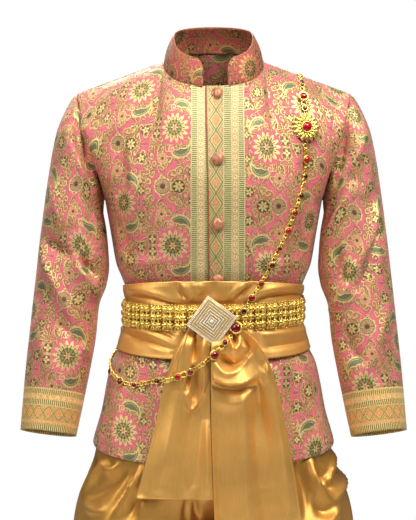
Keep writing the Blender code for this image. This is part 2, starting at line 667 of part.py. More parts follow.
def make_buttons(covered):
    front = tree_of(["jacket_front_left"])
    columns = 12
    tall = np.abs(np.sin(2 * math.pi * np.arange(columns) / columns))
    for number, z in enumerate(BUTTONS_Z, start=1):
        radius = NECK_BUTTON_RADIUS if number == 1 else BUTTON_RADIUS
        profile = [
            (0.60 * radius, 0),
            (radius, 0.38 * BUTTON_HEIGHT),
            (0.84 * radius, 0.75 * BUTTON_HEIGHT),
            (0.42 * radius, BUTTON_HEIGHT),
        ]
        outline = 1 + 0.35 * tall * (number == 1)
        place, away = met(front, (BUTTON_X, -0.6, z), (0, 1, 0))
        seat(f"button_{number}", front, profile, outline, place, away, covered)


# ---------------------------------------------------------------- finding a surface


def tree_of(names):
    """One search tree of the surfaces of the named solids."""
    points, faces = [], []
    for name in names:
        mesh = bpy.data.objects[name].data
        mesh.calc_loop_triangles()
        first = len(points)
        points += [v.co.copy() for v in mesh.vertices]
        faces += [[first + i for i in t.vertices] for t in mesh.loop_triangles]
    return BVHTree.FromPolygons(points, faces)


def met(tree, start, way):
    """Where a ray meets the tree, and the normal there."""
    place, normal, _, _ = tree.ray_cast(Vector(start), Vector(way).normalized())
    if place is None:
        raise ValueError(f"nothing is met from {tuple(start)}")
    return place, normal


def nearest_depth(tree, x, z, otherwise):
    """How far forward the tree's surface is at x and z."""
    place = tree.ray_cast(Vector((x, -0.6, z)), Vector((0, 1, 0)))[0]
    return -place.y if place else otherwise


def lift_over(tree, places, away):
    """How far places have to move along away to be a seam's width over the surface."""
    lifts = []
    for place in places:
        hit = tree.ray_cast(Vector(place) + Vector(away) * 0.05, -Vector(away))[0]
        if hit:
            lifts.append((hit - Vector(place)).dot(Vector(away)) + SEAM)
    return max(lifts)


def settled(values, width):
    """A run of depths made smooth without going below itself: each place takes the most
    of those within twice width of it, then the mean of those within width."""
    padded = np.pad(np.asarray(values, float), 2 * width, mode="edge")
    most = np.array([padded[i : i + 4 * width + 1].max() for i in range(len(values))])
    padded = np.pad(most, width, mode="edge")
    return np.array([padded[i : i + 2 * width + 1].mean() for i in range(len(values))])


# ---------------------------------------------------------------- sash, belt and buckle

ROUND_COLUMNS = 40


def sash_out(turn, rise):
    front = np.clip(np.cos(turn), 0, 1) ** 3
    return read(SASH, "out", rise) + front * read(SASH, "front_out", rise)


def sash_height(turn, rise):
    front = np.clip(np.cos(turn), -0.2, 1)
    top = SASH_TOP[0] + SASH_TOP[1] * front
    bottom = SASH_BOTTOM[0] + SASH_BOTTOM[1] * front
    return bottom + (top - bottom) * rise


def make_sash(satin):
    turns = 2 * math.pi * np.arange(ROUND_COLUMNS) / ROUND_COLUMNS
    turn, rise = np.meshgrid(turns, np.linspace(0, 1, 7))
    sheet = on_body(turn, sash_height(turn, rise), sash_out(turn, rise))
    sheet = folded(sheet, SASH_FOLDS, tube=True, top=(1.0, 1.1))
    wall("sash_wrap", sheet, SATIN, satin, tube=True)


TAIL_PLEATS, PLEAT_DEPTH = 2.5, 0.0026
TAIL_CLEAR = 0.0015  # from what it hangs over to its inner face


def tail(table, rows, columns, folds):
    """A tail's sheet. It hangs straight from whatever it lies on, is pleated at its top
    and flat at its hem."""
    across, up = np.meshgrid(np.linspace(0, 1, columns), np.linspace(0, 1, rows))
    z = table[0].z + (table[-1].z - table[0].z) * up
    left, right = read(table, "left", z), read(table, "right", z)
    x = left + (right - left) * across
    under = tree_of(["jacket_front_left", "jacket_front_right", "sash_wrap",
                     "kraben_left", "kraben_right"])
    fine = 4  # looks beneath it this many times between its rows, and its columns
    levels = np.linspace(0, 1, (rows - 1) * fine + 1)
    places = np.linspace(0, 1, (columns - 1) * fine + 1)
    below = []
    for level in levels:
        z_here = table[0].z + (table[-1].z - table[0].z) * level
        start, end = read(table, "left", z_here), read(table, "right", z_here)
        below.append([nearest_depth(under, start + (end - start) * place, z_here, 0.1)
                      for place in places])
    most = np.maximum.accumulate(np.array(below)[::-1], axis=0)[::-1]
    hung = most[np.maximum(np.arange(rows) * fine - fine, 0)]
    hung = np.array([settled(row, fine) for row in hung])[:, ::fine] + SATIN + TAIL_CLEAR
    wave = PLEAT_DEPTH * ease(up, 0.45, 0.80) * (1 - ease(up, 0.90, 0.97))
    swell = read(table, "depth", z) + wave * np.cos(2 * math.pi * TAIL_PLEATS * across)
    swell = folded(point(x, -swell, z), folds)
    return point(swell[..., 0], -np.maximum(hung, -swell[..., 1]), swell[..., 2])


def make_tails(satin):
    right = tail(TAIL_RIGHT, 15, 12, TAIL_RIGHT_FOLDS)
    left = tail(TAIL_LEFT, 21, 13, TAIL_LEFT_FOLDS)
    wall("sash_tail_right", right, SATIN, satin)
    wall("sash_tail_left", left, SATIN, satin)


def belt_middle(turn):
    """The height of the belt's middle line: it rises towards the wearer's left."""
    return BELT_Z + BELT_RISE * np.sin(turn)


def make_belt(gold):
    """A ring whose outside goes in and out with its links. It lies on the furthest out
    of what it goes round."""
    columns = 2 * BELT_LINKS
    turns = 2 * math.pi * np.arange(columns) / columns
    under = tree_of(["sash_wrap", "sash_tail_left", "sash_tail_right"])
    fine = 4  # looks beneath it this many times between its columns
    reaches = []
    for turn in 2 * math.pi * np.arange(columns * fine) / (columns * fine):
        z = belt_middle(turn) + BELT_HEIGHT * np.array([-0.5, -0.25, 0, 0.25, 0.5])
        bases, aways = on_body(turn, z), on_body(turn, z, 0.1)
        places = [met(under, away, base - away)[0] for base, away in zip(bases, aways)]
        reaches.append(np.linalg.norm(np.array(places) - bases, axis=-1).max())
    reaches = settled(np.roll(reaches, columns * fine // 2), fine)
    out = np.roll(reaches, -(columns * fine // 2))[::fine] + BELT_CLEAR
    turn, rise = np.meshgrid(turns, np.array([0, 0.28, 0.72, 1.0]))
    z = belt_middle(turn) + BELT_HEIGHT * (rise - 0.5)
    proud = np.where(np.arange(columns) % 2 == 0, 1.0, 0.25) * np.array([[0.2], [1], [1], [0.2]])
    outer = on_body(turn, z, out + BELT_BAND + BELT_RELIEF * proud)
    shell("belt", outer, on_body(turn, z, out), gold, tube=True)


def make_buckle(jewelled):
    """A square plate in steps, standing on one corner, on the belt's front."""
    side = 1 / math.sqrt(2)
    outline = [1.0, side] * 4
    half = BUCKLE_SIDE * side
    profile = [
        (half, 0.0),
        (half, 0.0040),
        (half * 0.84, 0.0055),
        (half * 0.62, 0.0072),
        (half * 0.40, 0.0086),
        (half * 0.18, 0.0094),
    ]
    under = tree_of(["belt", "sash_tail_left", "sash_tail_right", "sash_wrap"])
    place = (BUCKLE_X, -0.12, BUCKLE_Z)
    seat("buckle", under, profile, outline, place, (0, -1, 0), jewelled, BUCKLE_TURN)


# ---------------------------------------------------------------- chong kraben

KRABEN_DIP = 0.0030  # how far its front lies in beneath the jacket's lap

def kraben(share, z):
    """A point of the wearer's left half: share goes from the front seam (0) round the
    outside (0.5) to the back seam (1). Below the crotch the two seams meet."""
    turn = np.where(share < 0.5, quarter(2 * share), math.pi - quarter(2 - 2 * share))
    centre = np.exp(-((math.pi * share / 0.35) ** 2)) * ease(z, -0.72, -0.66)
    half = on_body(turn, z, read(KRABEN_OUT, "out", z) - KRABEN_DIP * centre)
    inner, outer = read(KRABEN_LEG, "inner", z), read(KRABEN_LEG, "outer", z)
    depth = np.where(share < 0.5, read(KRABEN_LEG, "front", z), read(KRABEN_LEG, "back", z))
    round_leg = 2 * math.pi * share
    leg = point(
        (inner + outer) / 2 - (outer - inner) / 2 * np.cos(round_leg),
        -depth * np.sin(round_leg),
        z,
    )
    closed = ease(-z, -CROTCH[0], -CROTCH[1])[..., None]
    return half * (1 - closed) + leg * closed


def make_kraben(satin):
    heights = np.array([-1.065, -1.03, -0.99, -0.95, -0.91, -0.87, -0.835, -0.80, -0.765,
                        -0.73, -0.70, -0.672, -0.645, -0.60, -0.53, -0.46, -0.425, -0.395])
    shares = np.linspace(0, 1, 19)
    shares[0], shares[-1] = 0.0006, 0.9994
    share, z = np.meshgrid(shares, heights)
    sheet = kraben(share, z)
    sheet[..., 0] = np.maximum(sheet[..., 0], SEAM)
    sheet = folded(sheet, LEG_FOLDS, sides=0.05, top=(0.60, 0.69))
    wall("kraben_left", sheet, SATIN, satin)
    wall("kraben_right", mirrored(sheet), SATIN, satin)


# ---------------------------------------------------------------- chain and brooch


def make_brooch(gilt):
    """A flower: its rim goes in and out with its petals, and its middle stands up."""
    front = tree_of(["jacket_front_left"])
    place, away = met(front, (BROOCH_AT[0], -0.6, BROOCH_AT[1]), (0, 1, 0))
    outline = np.where(np.arange(2 * BROOCH_PETALS) % 2 == 0, 1.0, 0.88)
    profile = [
        (BROOCH_RADIUS * 0.80, 0),
        (BROOCH_RADIUS, BROOCH_HEIGHT * 0.25),
        (BROOCH_RADIUS * 0.55, BROOCH_HEIGHT * 0.62),
        (BROOCH_RADIUS * 0.26, BROOCH_HEIGHT),
    ]
    seat("brooch", front, profile, outline, place, away, gilt)


def chain_looks():
    """Where each stop of the chain is looked for: from where, which way, and its jewel."""
    looks = [((s.x, -0.6, s.z), (0, 1, 0), s.size) for s in CHAIN_FRONT]
    for stop in CHAIN_SIDE:
        turn = math.radians(stop.turn)
        base, away = on_body(turn, stop.z), on_body(turn, stop.z, 0.025)
        looks.append((tuple(away), tuple(unit(base - away)), stop.size))
    looks += [((s.x, 0.6, s.z), (0, -1, 0), s.size) for s in CHAIN_BACK]
    looks += [((s.x, s.y, 0.3), (0, 0, -1), s.size) for s in CHAIN_OVER]
    looks += [((s.x, -0.6, s.z), (0, 1, 0), s.size) for s in CHAIN_DOWN]
    return looks


def make_chain(gilt):
    """Links and set jewels as one solid from the brooch round the body and back to it.
    Its rings are moved out until all of it is clear of what it lies on."""
    under = tree_of(["jacket_front_left", "jacket_front_right", "jacket_back", "sash_wrap",
                     "sash_tail_left", "sash_tail_right", "belt", "buckle"])
    looks = chain_looks()
    stops = np.array([met(under, start, way)[0] for start, way, _ in looks])
    ways = np.array([way for _, way, _ in looks], float)
    along = np.concatenate([[0], np.cumsum(np.linalg.norm(np.diff(stops, axis=0), axis=1))])
    spots = []  # where each ring is along the chain, and how wide it is there
    for at, (_, _, size) in zip(along, looks):
        if size == 0:
            spots.append((at, CHAIN_RADIUS))
            continue
        spots += [(at - 1.10 * size, CHAIN_RADIUS), (at - 0.50 * size, size)]
        spots += [(at + 0.50 * size, size), (at + 1.10 * size, CHAIN_RADIUS)]
    where, widths = np.array(spots).T
    places = np.stack([np.interp(where, along, stops[:, i]) for i in range(3)], axis=-1)
    way = unit(np.stack([np.interp(where, along, ways[:, i]) for i in range(3)], axis=-1))
    hits = [met(under, p - w * 0.02, w) for p, w in zip(places, way)]
    places = np.array([place for place, _ in hits])
    facing = np.array([normal for _, normal in hits]) - way
    padded = np.pad(facing, ((3, 3), (0, 0)), mode="edge")
    away = unit(np.array([padded[i : i + 7].mean(axis=0) for i in range(len(facing))]))
    lift = np.full(len(places), CHAIN_RADIUS + SEAM)
    steps = np.linspace(0, 1, 6)[:-1, None, None, None]
    for _ in range(60):
        rings = chain_rings(places + away * lift[:, None], away, widths)
        rings = np.concatenate([rings, (rings + np.roll(rings, -1, axis=1)) / 2], axis=1)
        between = rings[:-1] + (rings[1:] - rings[:-1]) * steps
        short = np.array([[max(lack(under, p, a, 2 * SEAM) for p in ring)
                           for ring, a in zip(row, away)] for row in between]).max(axis=0)
        if short.max() <= 0:
            break
        lift[:-1] += np.maximum(short, 0) * 0.6
        lift[1:] += np.maximum(short, 0) * 0.6
    capped("body_chain", chain_rings(places + away * lift[:, None], away, widths), gilt)


def lack(tree, place, away, least):
    """How much further along away a place has to be to lie at least that far off."""
    hit = tree.ray_cast(Vector(place + away * 0.03), Vector(-away))[0]
    if hit and (np.array(hit) - place) @ away > -least:
        return (np.array(hit) - place) @ away + least
    near = tree.find_nearest(Vector(place), 0.02)
    return least - near[3] if near[0] else -least


def chain_rings(centres, away, widths):
    """Rings of four points across the chain's line."""
    along = unit(np.gradient(centres, axis=0))
    side = unit(np.cross(along, away))
    up = np.cross(side, along)
    across = side * widths[:, None]
    return np.stack([centres + across, centres + up * CHAIN_RADIUS,
                     centres - across, centres - up * CHAIN_RADIUS], axis=1)


# ---------------------------------------------------------------- main


def clear_scene():
    for old in list(bpy.data.objects):
        bpy.data.objects.remove(old)


def main():
    clear_scene()
    brocade = material("pink and gold brocade", (0.72, 0.30, 0.24), 0.55)
    satin = material("gold satin", (0.62, 0.36, 0.12), 0.35)
    covered = material("covered button", (0.68, 0.30, 0.20), 0.45)
    gold = material("gilt metal", (0.85, 0.58, 0.16), 0.25, 1.0)
    jewelled = material("stone-set gilt", (0.88, 0.82, 0.64), 0.2, 0.9)
    make_jacket_and_sleeves(brocade)
    make_collar(brocade)
    make_buttons(covered)
    make_kraben(satin)
    make_sash(satin)
    make_tails(satin)
    make_belt(gold)
    make_buckle(jewelled)
    make_brooch(gold)
    make_chain(gold)


main()
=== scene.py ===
"""The looks of a Thai groom's outfit (chut thai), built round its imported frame.

A brocade jacket, a tied satin sash, a linked gilt belt with a stone-set buckle, a jewelled
shoulder chain with its brooch, and a draped satin chong kraben.

Metres, +Z up. The front faces -Y and the wearer's left is +X. The origin lies midway
between the neck ends of the two shoulder seams.
"""

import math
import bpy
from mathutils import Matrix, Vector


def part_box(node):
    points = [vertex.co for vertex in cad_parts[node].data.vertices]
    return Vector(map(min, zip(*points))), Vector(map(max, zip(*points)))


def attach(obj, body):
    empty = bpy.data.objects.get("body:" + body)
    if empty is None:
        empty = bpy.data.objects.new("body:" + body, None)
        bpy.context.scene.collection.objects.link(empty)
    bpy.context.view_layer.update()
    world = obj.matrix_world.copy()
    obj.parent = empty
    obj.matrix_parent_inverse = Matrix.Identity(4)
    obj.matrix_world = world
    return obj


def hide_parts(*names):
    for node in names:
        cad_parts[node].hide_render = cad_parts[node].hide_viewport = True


bl_info = {
    "name": "Chut Thai Outfit",
    "version": (1, 0, 0),
    "blender": (4, 5, 0),
    "location": "View3D > Sidebar > Chut Thai",
    "description": "Builds a worn Thai groom's outfit in brocade, satin and gilt metal",
    "category": "Object",
}

from collections import namedtuple

import bpy
import numpy as np
from mathutils import Vector
from mathutils.bvhtree import BVHTree

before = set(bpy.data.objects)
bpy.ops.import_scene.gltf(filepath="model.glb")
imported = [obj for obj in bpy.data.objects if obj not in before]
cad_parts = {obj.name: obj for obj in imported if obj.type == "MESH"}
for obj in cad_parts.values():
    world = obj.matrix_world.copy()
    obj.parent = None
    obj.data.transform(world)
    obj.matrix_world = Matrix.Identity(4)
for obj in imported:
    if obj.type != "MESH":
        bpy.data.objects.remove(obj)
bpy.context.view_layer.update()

# ---------------- sizes


def named_rows(columns, *rows):
    """A table whose rows give their values by their columns' names."""
    Row = namedtuple("Row", columns)
    return [Row(*row) for row in rows]


SEAM = 0.0003  # between two pieces that are sewn or lie together
BROCADE_WALL = 0.0013
COLLAR_WALL = 0.0022
SATIN_WALL = 0.0011
SQUARE = 2.35  # power of the body's superellipse: 2 is an ellipse, more is boxier

ARMPIT_Z = -0.235
HEM_SIDE_Z = -0.639
HEM_DIP = 0.026  # how much lower the hem is at the front and back centre

NECK_HALF_WIDTH = 0.0835
NECK_FRONT, NECK_BACK = 0.078, 0.064  # from the origin's plane to the neckline
NECK_FRONT_Z, NECK_BACK_Z = -0.042, 0.016
NECK_SQUARE = 2.5
SHOULDER = (0.231, -0.003, -0.054)  # outer end of the shoulder seam

LAP = 0.0088  # the left front runs this far past the centre
UNDERLAP = 0.0125  # and the right front this far the other way, beneath it
BORDER_UNDERLAP = 0.0218  # where the right front's woven border starts, past the centre
COLLAR_ENDS = (0.0132, 0.0178)  # right and left of the centre
COLLAR_HEIGHT, COLLAR_CORNER = 0.044, 0.022  # its front corners are rounded
COLLAR_LEAN = 0.0165  # how far its top edge leans in towards the neck

BUTTON_X = 0.0068
BUTTONS_Z = (-0.055, -0.162, -0.268, -0.360, -0.466)
BUTTON_RADIUS, NECK_BUTTON_RADIUS = 0.0102, 0.0068

BELT_Z, BELT_RISE = -0.4205, 0.0030
BELT_HEIGHT, BELT_LINKS = 0.041, 40
BELT_BACK = 0.0385  # height of the band behind its links
BUCKLE_X, BUCKLE_Z = -0.0034, -0.4250
BUCKLE_SIDE, BUCKLE_TURN = 0.0600, math.radians(8.5)  # from standing on its corner

BROOCH_AT = (0.1514, -0.1112)

BODY = named_rows(  # the jacket's outer rings from below the hem to the armpit
    "z half_width front back",
    (-0.900, 0.2380, 0.156, 0.162),
    (-0.800, 0.2360, 0.157, 0.162),
    (-0.740, 0.2270, 0.153, 0.157),
    (-0.690, 0.2130, 0.148, 0.150),
    (-0.639, 0.2045, 0.1425, 0.146),
    (-0.588, 0.1905, 0.135, 0.139),
    (-0.540, 0.1815, 0.129, 0.132),
    (-0.508, 0.1740, 0.1235, 0.125),
    (-0.488, 0.1640, 0.1165, 0.117),
    (-0.470, 0.1545, 0.110, 0.109),
    (-0.440, 0.1475, 0.105, 0.102),
    (-0.410, 0.1455, 0.103, 0.0985),
    (-0.388, 0.1475, 0.1045, 0.099),
    (-0.365, 0.1550, 0.1095, 0.103),
    (-0.340, 0.1650, 0.1155, 0.108),
    (-0.300, 0.1725, 0.121, 0.113),
    (-0.235, 0.1830, 0.126, 0.119),
)

SLEEVE = named_rows(  # armhole to cuff: its outer and inner lines, and half its depth
    "share outer_x outer_z inner_x inner_z middle_y depth tilt",
    (0.00, 0.2310, -0.0540, 0.1836, -0.2350, 0.000, 0.062, 0.000),
    (0.03, 0.2440, -0.0640, 0.1843, -0.2370, -0.001, 0.064, 0.000),
    (0.07, 0.2525, -0.0800, 0.1853, -0.2400, -0.002, 0.066, 0.000),
    (0.12, 0.2610, -0.1050, 0.1862, -0.2450, -0.005, 0.067, 0.000),
    (0.18, 0.2685, -0.1380, 0.1862, -0.2530, -0.010, 0.067, 0.000),
    (0.25, 0.2750, -0.1760, 0.1840, -0.2660, -0.016, 0.066, 0.000),
    (0.33, 0.2815, -0.2200, 0.1805, -0.2850, -0.022, 0.064, 0.000),
    (0.41, 0.2875, -0.2640, 0.1780, -0.3100, -0.026, 0.062, 0.000),
    (0.50, 0.2940, -0.3130, 0.1760, -0.3450, -0.028, 0.059, 0.002),
    (0.58, 0.2990, -0.3570, 0.1800, -0.3740, -0.030, 0.057, 0.004),
    (0.66, 0.3045, -0.4050, 0.1925, -0.4100, -0.034, 0.056, 0.006),
    (0.75, 0.3095, -0.4560, 0.1975, -0.4600, -0.040, 0.055, 0.008),
    (0.84, 0.3150, -0.5130, 0.2070, -0.5150, -0.047, 0.053, 0.010),
    (0.92, 0.3195, -0.5640, 0.2175, -0.5650, -0.054, 0.051, 0.011),
    (1.00, 0.3240, -0.6160, 0.2305, -0.6270, -0.062, 0.048, 0.012),
)

SASH = named_rows(  # bottom to top: off the jacket, and how much more at front centre
    "rise out front_out",
    (0.00, 0.0052, 0.0090),
    (0.30, 0.0046, 0.0110),
    (0.55, 0.0036, 0.0120),
    (0.75, 0.0036, 0.0120),
    (1.00, 0.0040, 0.0100),
)
SASH_TOP = (-0.3790, 0.0175)  # height at the sides, and its rise at front centre
SASH_BOTTOM = (-0.4800, -0.0100)

TAIL_RIGHT = named_rows(  # the wearer's right tail: its edges, and how far forward it is
    "z left right depth",
    (-0.716, -0.1270, -0.0012, 0.130),
    (-0.673, -0.1155, -0.0026, 0.130),
    (-0.610, -0.0990, -0.0045, 0.133),
    (-0.542, -0.0840, -0.0058, 0.138),
    (-0.486, -0.0680, -0.0055, 0.143),
    (-0.465, -0.0590, -0.0050, 0.142),
    (-0.4535, -0.0520, -0.0046, 0.136),
    (-0.4445, -0.0460, -0.0042, 0.1275),
    (-0.430, -0.0340, -0.0035, 0.1262),
)
TAIL_LEFT = named_rows(  # the wearer's left tail
    "z left right depth",
    (-0.880, 0.0060, 0.1640, 0.130),
    (-0.750, 0.0010, 0.1435, 0.130),
    (-0.661, -0.0020, 0.1300, 0.132),
    (-0.593, -0.0040, 0.1165, 0.138),
    (-0.530, -0.0050, 0.1030, 0.144),
    (-0.492, -0.0045, 0.0900, 0.149),
    (-0.468, -0.0040, 0.0760, 0.147),
    (-0.4535, -0.0035, 0.0620, 0.139),
    (-0.4445, -0.0030, 0.0500, 0.1310),
    (-0.430, -0.0020, 0.0320, 0.1262),
)

KRABEN_LEG = named_rows(  # closed rings of one leg, from the hem at the calf to the crotch
    "z inner outer front back",
    (-1.065, 0.0440, 0.1830, 0.088, 0.092),
    (-1.030, 0.0380, 0.1930, 0.096, 0.100),
    (-0.980, 0.0280, 0.2110, 0.111, 0.117),
    (-0.920, 0.0180, 0.2300, 0.130, 0.136),
    (-0.860, 0.0090, 0.2400, 0.143, 0.149),
    (-0.815, 0.0010, 0.2400, 0.149, 0.155),
)
CROTCH = (-0.690, -0.815)  # the half rings close into legs between these heights
KRABEN_OUT = named_rows(  # how far outside the jacket's rings the kraben lies
    "z out",
    (-0.900, 0.0000),
    (-0.760, 0.0000),
    (-0.700, -0.0010),
    (-0.668, -0.0060),
    (-0.600, -0.0085),
    (-0.500, -0.0070),
    (-0.430, -0.0029),
    (-0.395, -0.0029),
)
KRABEN_DIP = 0.0030  # how far its front lies in beneath the jacket's lap

# The chain's stops: size is the radius of the setting there, or 0 for plain links
CHAIN_FRONT = named_rows(  # from the brooch to the right hip, seen from the front
    "x z size",
    (0.1500, -0.1390, 0.0),
    (0.1512, -0.1640, 0.0055),
    (0.1488, -0.1913, 0.0040),
    (0.1416, -0.2227, 0.0042),
    (0.1324, -0.2504, 0.0045),
    (0.1209, -0.2802, 0.0048),
    (0.1070, -0.3090, 0.0035),
    (0.0950, -0.3358, 0.0045),
    (0.0768, -0.3662, 0.0042),
    (0.0620, -0.3886, 0.0050),
    (0.0485, -0.4092, 0.0040),
    (0.0377, -0.4372, 0.0078),
    (0.0190, -0.4599, 0.0042),
    (-0.0008, -0.4794, 0.0062),
    (-0.0258, -0.4998, 0.0),
    (-0.0396, -0.5073, 0.0050),
    (-0.0583, -0.5151, 0.0050),
    (-0.0920, -0.5265, 0.0040),
    (-0.1306, -0.5355, 0.0038),
    (-0.1530, -0.5321, 0.0052),
)
CHAIN_SIDE = named_rows(  # round the right hip: degrees from the front centre
    "turn z size",
    (-72, -0.5200, 0.0048),
    (-88, -0.5050, 0.0),
    (-104, -0.4930, 0.0045),
    (-120, -0.4790, 0.0),
)
CHAIN_BACK = named_rows(  # on up the back to the left shoulder, seen from the front
    "x z size",
    (-0.1080, -0.4560, 0.0045),
    (-0.0800, -0.4280, 0.0),
    (-0.0540, -0.3980, 0.0045),
    (-0.0280, -0.3640, 0.0),
    (-0.0030, -0.3300, 0.0045),
    (0.0220, -0.2940, 0.0),
    (0.0460, -0.2570, 0.0045),
    (0.0690, -0.2190, 0.0),
    (0.0900, -0.1810, 0.0045),
    (0.1090, -0.1410, 0.0),
    (0.1250, -0.1000, 0.0045),
    (0.1370, -0.0640, 0.0),
)
CHAIN_OVER = named_rows(  # over the shoulder, seen from above
    "x y size",
    (0.1430, 0.0220, 0.0042),
    (0.1450, -0.0060, 0.0),
    (0.1460, -0.0330, 0.0035),
)
CHAIN_DOWN = named_rows(  # and down to the brooch
    "x z size",
    (0.1465, -0.0420, 0.0034),
    (0.1475, -0.0610, 0.0064),
    (0.1500, -0.0800, 0.0040),
    (0.1510, -0.0870, 0.0),
)


def creases(*rows):
    """A table of creases. Each is an arc through three places on its sheet, given in
    hundredths of the sheet across and up. Its width and height are in millimetres, and a
    trough's height is below 0. Its one side is as steep as the width says, and the other
    reaches spread times as far, which is 1 where it isn't given."""
    table = []
    for *places, width, height, spread in (row if len(row) == 9 else (*row, 1.0) for row in rows):
        table.append((*(place / 100 for place in places), width / 1000, height / 1000, spread))
    return named_rows("across0 up0 across1 up1 across2 up2 width height spread", *table)


FRONT_RIGHT_CREASES = creases(  # from the front centre to the side
    (75, 80, 65, 71, 70, 63, 15.4, -6.5, 1.2),
    (63, 75, 57, 67, 64, 55, 15.4, 4.7),
    (80, 59, 71, 53, 66, 47, 13.2, -5.4),
    (76, 47, 54, 47, 34, 48, 9.9, 4.3),
    (66, 19, 66, 12, 65, 0, 13.2, 5.4),
    (47, 22, 47, 13, 47, 0, 13.2, -5.4),
)
FRONT_LEFT_CREASES = creases(
    (77, 80, 66, 70, 74, 60, 15.4, -6.9, 1.2),
    (60, 75, 57, 67, 63, 57, 15.4, 4.3),
    (77, 59, 71, 53, 68, 47, 13.2, -5.4),
    (28, 49, 47, 47, 69, 47, 9.9, 4.3),
    (65, 20, 69, 12, 68, 0, 13.2, 5.4),
    (53, 22, 53, 12, 52, 0, 13.2, -5.4),
)
BACK_CREASES = creases(  # from the right side seam to the left one
    (9, 86, 13, 74, 17, 60, 20, -4),
    (91, 86, 87, 74, 83, 60, 20, -4),
    (14, 60, 22, 54, 30, 47, 18, 3.5),
    (86, 60, 78, 53, 70, 47, 18, 3.5),
    (32, 49, 48, 47, 63, 49, 10, 2.2),
    (40, 15, 38, 5, 36, 0, 24, 3),
    (60, 15, 62, 5, 64, 0, 24, 3),
)
# On both sleeves across goes round from the underarm: 0.25 is the front, 0.5 the outside
# and 0.75 the back. Up goes from the cuff to the armhole.
SLEEVE_RIGHT_CREASES = creases(
    (42, 98, 26, 93, 14, 86, 6.8, -13.8, 1.6),
    (14, 86, 8, 75, 4, 61, 7.4, -12.4, 1.2),
    (38, 88, 26, 85, 14, 81, 10.8, 9.2, 1.2),
    (39, 91, 33, 89, 29, 87, 6.1, -7.6),
    (39, 52, 32, 52, 25, 50, 8.8, -12.4, 1.2),
    (42, 52, 32, 43, 16, 28, 10.8, 10.9, 1.1),
    (21, 52, 17, 49, 12, 45, 8.1, -12.4),
    (23, 51, 16, 43, 6, 39, 9.5, 9.8),
    (26, 32, 20, 27, 14, 24, 8.1, -9.2, 1.2),
    (23, 29, 16, 25, 5, 22, 8.1, 6.6, 1.2),
    (36, 28, 29, 20, 21, 12, 16.2, 5.4, 1.2),
    (42, 70, 35, 64, 31, 58, 16.2, 5.4),
    (68, 90, 79, 82, 90, 70, 12.1, -13.8, 1.3),
    (62, 78, 74, 74, 86, 66, 16.2, 7.6),
    (58, 55, 72, 50, 90, 46, 10.8, 8.7, 1.2),
    (62, 49, 76, 45, 92, 42, 9.5, -10.7),
    (56, 30, 70, 26, 86, 20, 13.5, 6.1),
)
SLEEVE_LEFT_CREASES = creases(
    (42, 93, 26, 91, 14, 86, 6.8, -13.8, 1.4),
    (14, 86, 9, 75, 4, 61, 7.4, -10.7, 1.2),
    (41, 86, 30, 84, 17, 85, 10.8, 9.2, 1.2),
    (26, 76, 18, 70, 7, 60, 9.5, 7.6, 1.1),
    (39, 65, 32, 55, 20, 42, 10.8, 10.9, 1.1),
    (20, 42, 14, 38, 3, 34, 9.5, 8.7, 1.1),
    (40, 60, 35, 51, 23, 40, 9.5, -10.7, 1.3),
    (15, 56, 17, 48, 14, 41, 9.5, -7.6),
    (39, 37, 32, 28, 22, 17, 16.2, 5.4),
    (37, 81, 36, 74, 32, 67, 16.2, 4.4),
    (14, 30, 16, 24, 22, 19, 12.1, -6.1),
    (66, 91, 78, 84, 90, 72, 12.1, -13.8, 1.2),
    (60, 80, 73, 72, 84, 64, 16.2, 7.6),
    (56, 58, 74, 52, 92, 48, 10.8, 8.3, 1.2),
    (60, 52, 75, 46, 90, 44, 9.5, -9.8),
    (58, 33, 72, 27, 88, 23, 13.5, 5.6),
)
SASH_CREASES = creases(  # across is the turn round the waist from front centre to the left side
    (80, 93, 89, 87, 94.5, 70, 4.6, 3.7, 2),
    (79, 82, 89, 77, 93.5, 68, 4.6, -3.9),
    (94.7, 100, 95.2, 87, 96.2, 77, 4.6, -4.1),
    (96.2, 98, 96.6, 87, 97.6, 77, 4.1, 3.7, 1.2),
    (98.1, 100, 98.2, 94, 98.6, 85, 4.1, 3.1),
    (0, 100, 0, 92, 0, 81, 6.9, -2.6),
    (4.3, 100, 2.9, 89, 1.9, 77, 3.7, 3.7, 1.5),
    (6.2, 98, 4.3, 87, 2.9, 75, 4.8, -4.1),
    (19, 100, 9.6, 92, 4.8, 77, 5.7, 3.1, 1.5),
    (24, 85, 11.5, 81, 6.7, 75, 4.8, -3.9),
    (78, 36, 88, 32, 94.7, 15, 4.1, 3.6, 1.5),
    (79, 26, 89, 19, 94.7, 6, 4.8, -4.1, 1.2),
    (89.4, 38, 91.8, 34, 94.2, 28, 3.4, -3.9),
    (87, 21, 91.3, 13, 94.7, 9, 4.4, 3, 1.2),
    (7.7, 43, 11.1, 34, 24.5, 34, 4.8, -3.4),
    (7.7, 30, 12.5, 32, 24.5, 30, 5.7, 3.4, 1.4),
    (7.7, 13, 12, 15, 22.1, 13, 5.7, -2.9, 1.2),
    (26, 88, 36, 80, 47, 86, 5.5, 3.4, 1.5),
    (28, 76, 38, 88, 50, 94, 4.6, -3.2),
    (45, 78, 57, 85, 70, 80, 5.2, 3.4, 1.4),
    (55, 93, 66, 90, 77, 76, 4.6, -3.4),
    (27, 22, 40, 30, 52, 24, 5.2, 3.4, 1.4),
    (38, 12, 50, 16, 62, 10, 4.6, -3.2),
    (54, 30, 65, 22, 76, 28, 5.2, 3.1, 1.4),
)
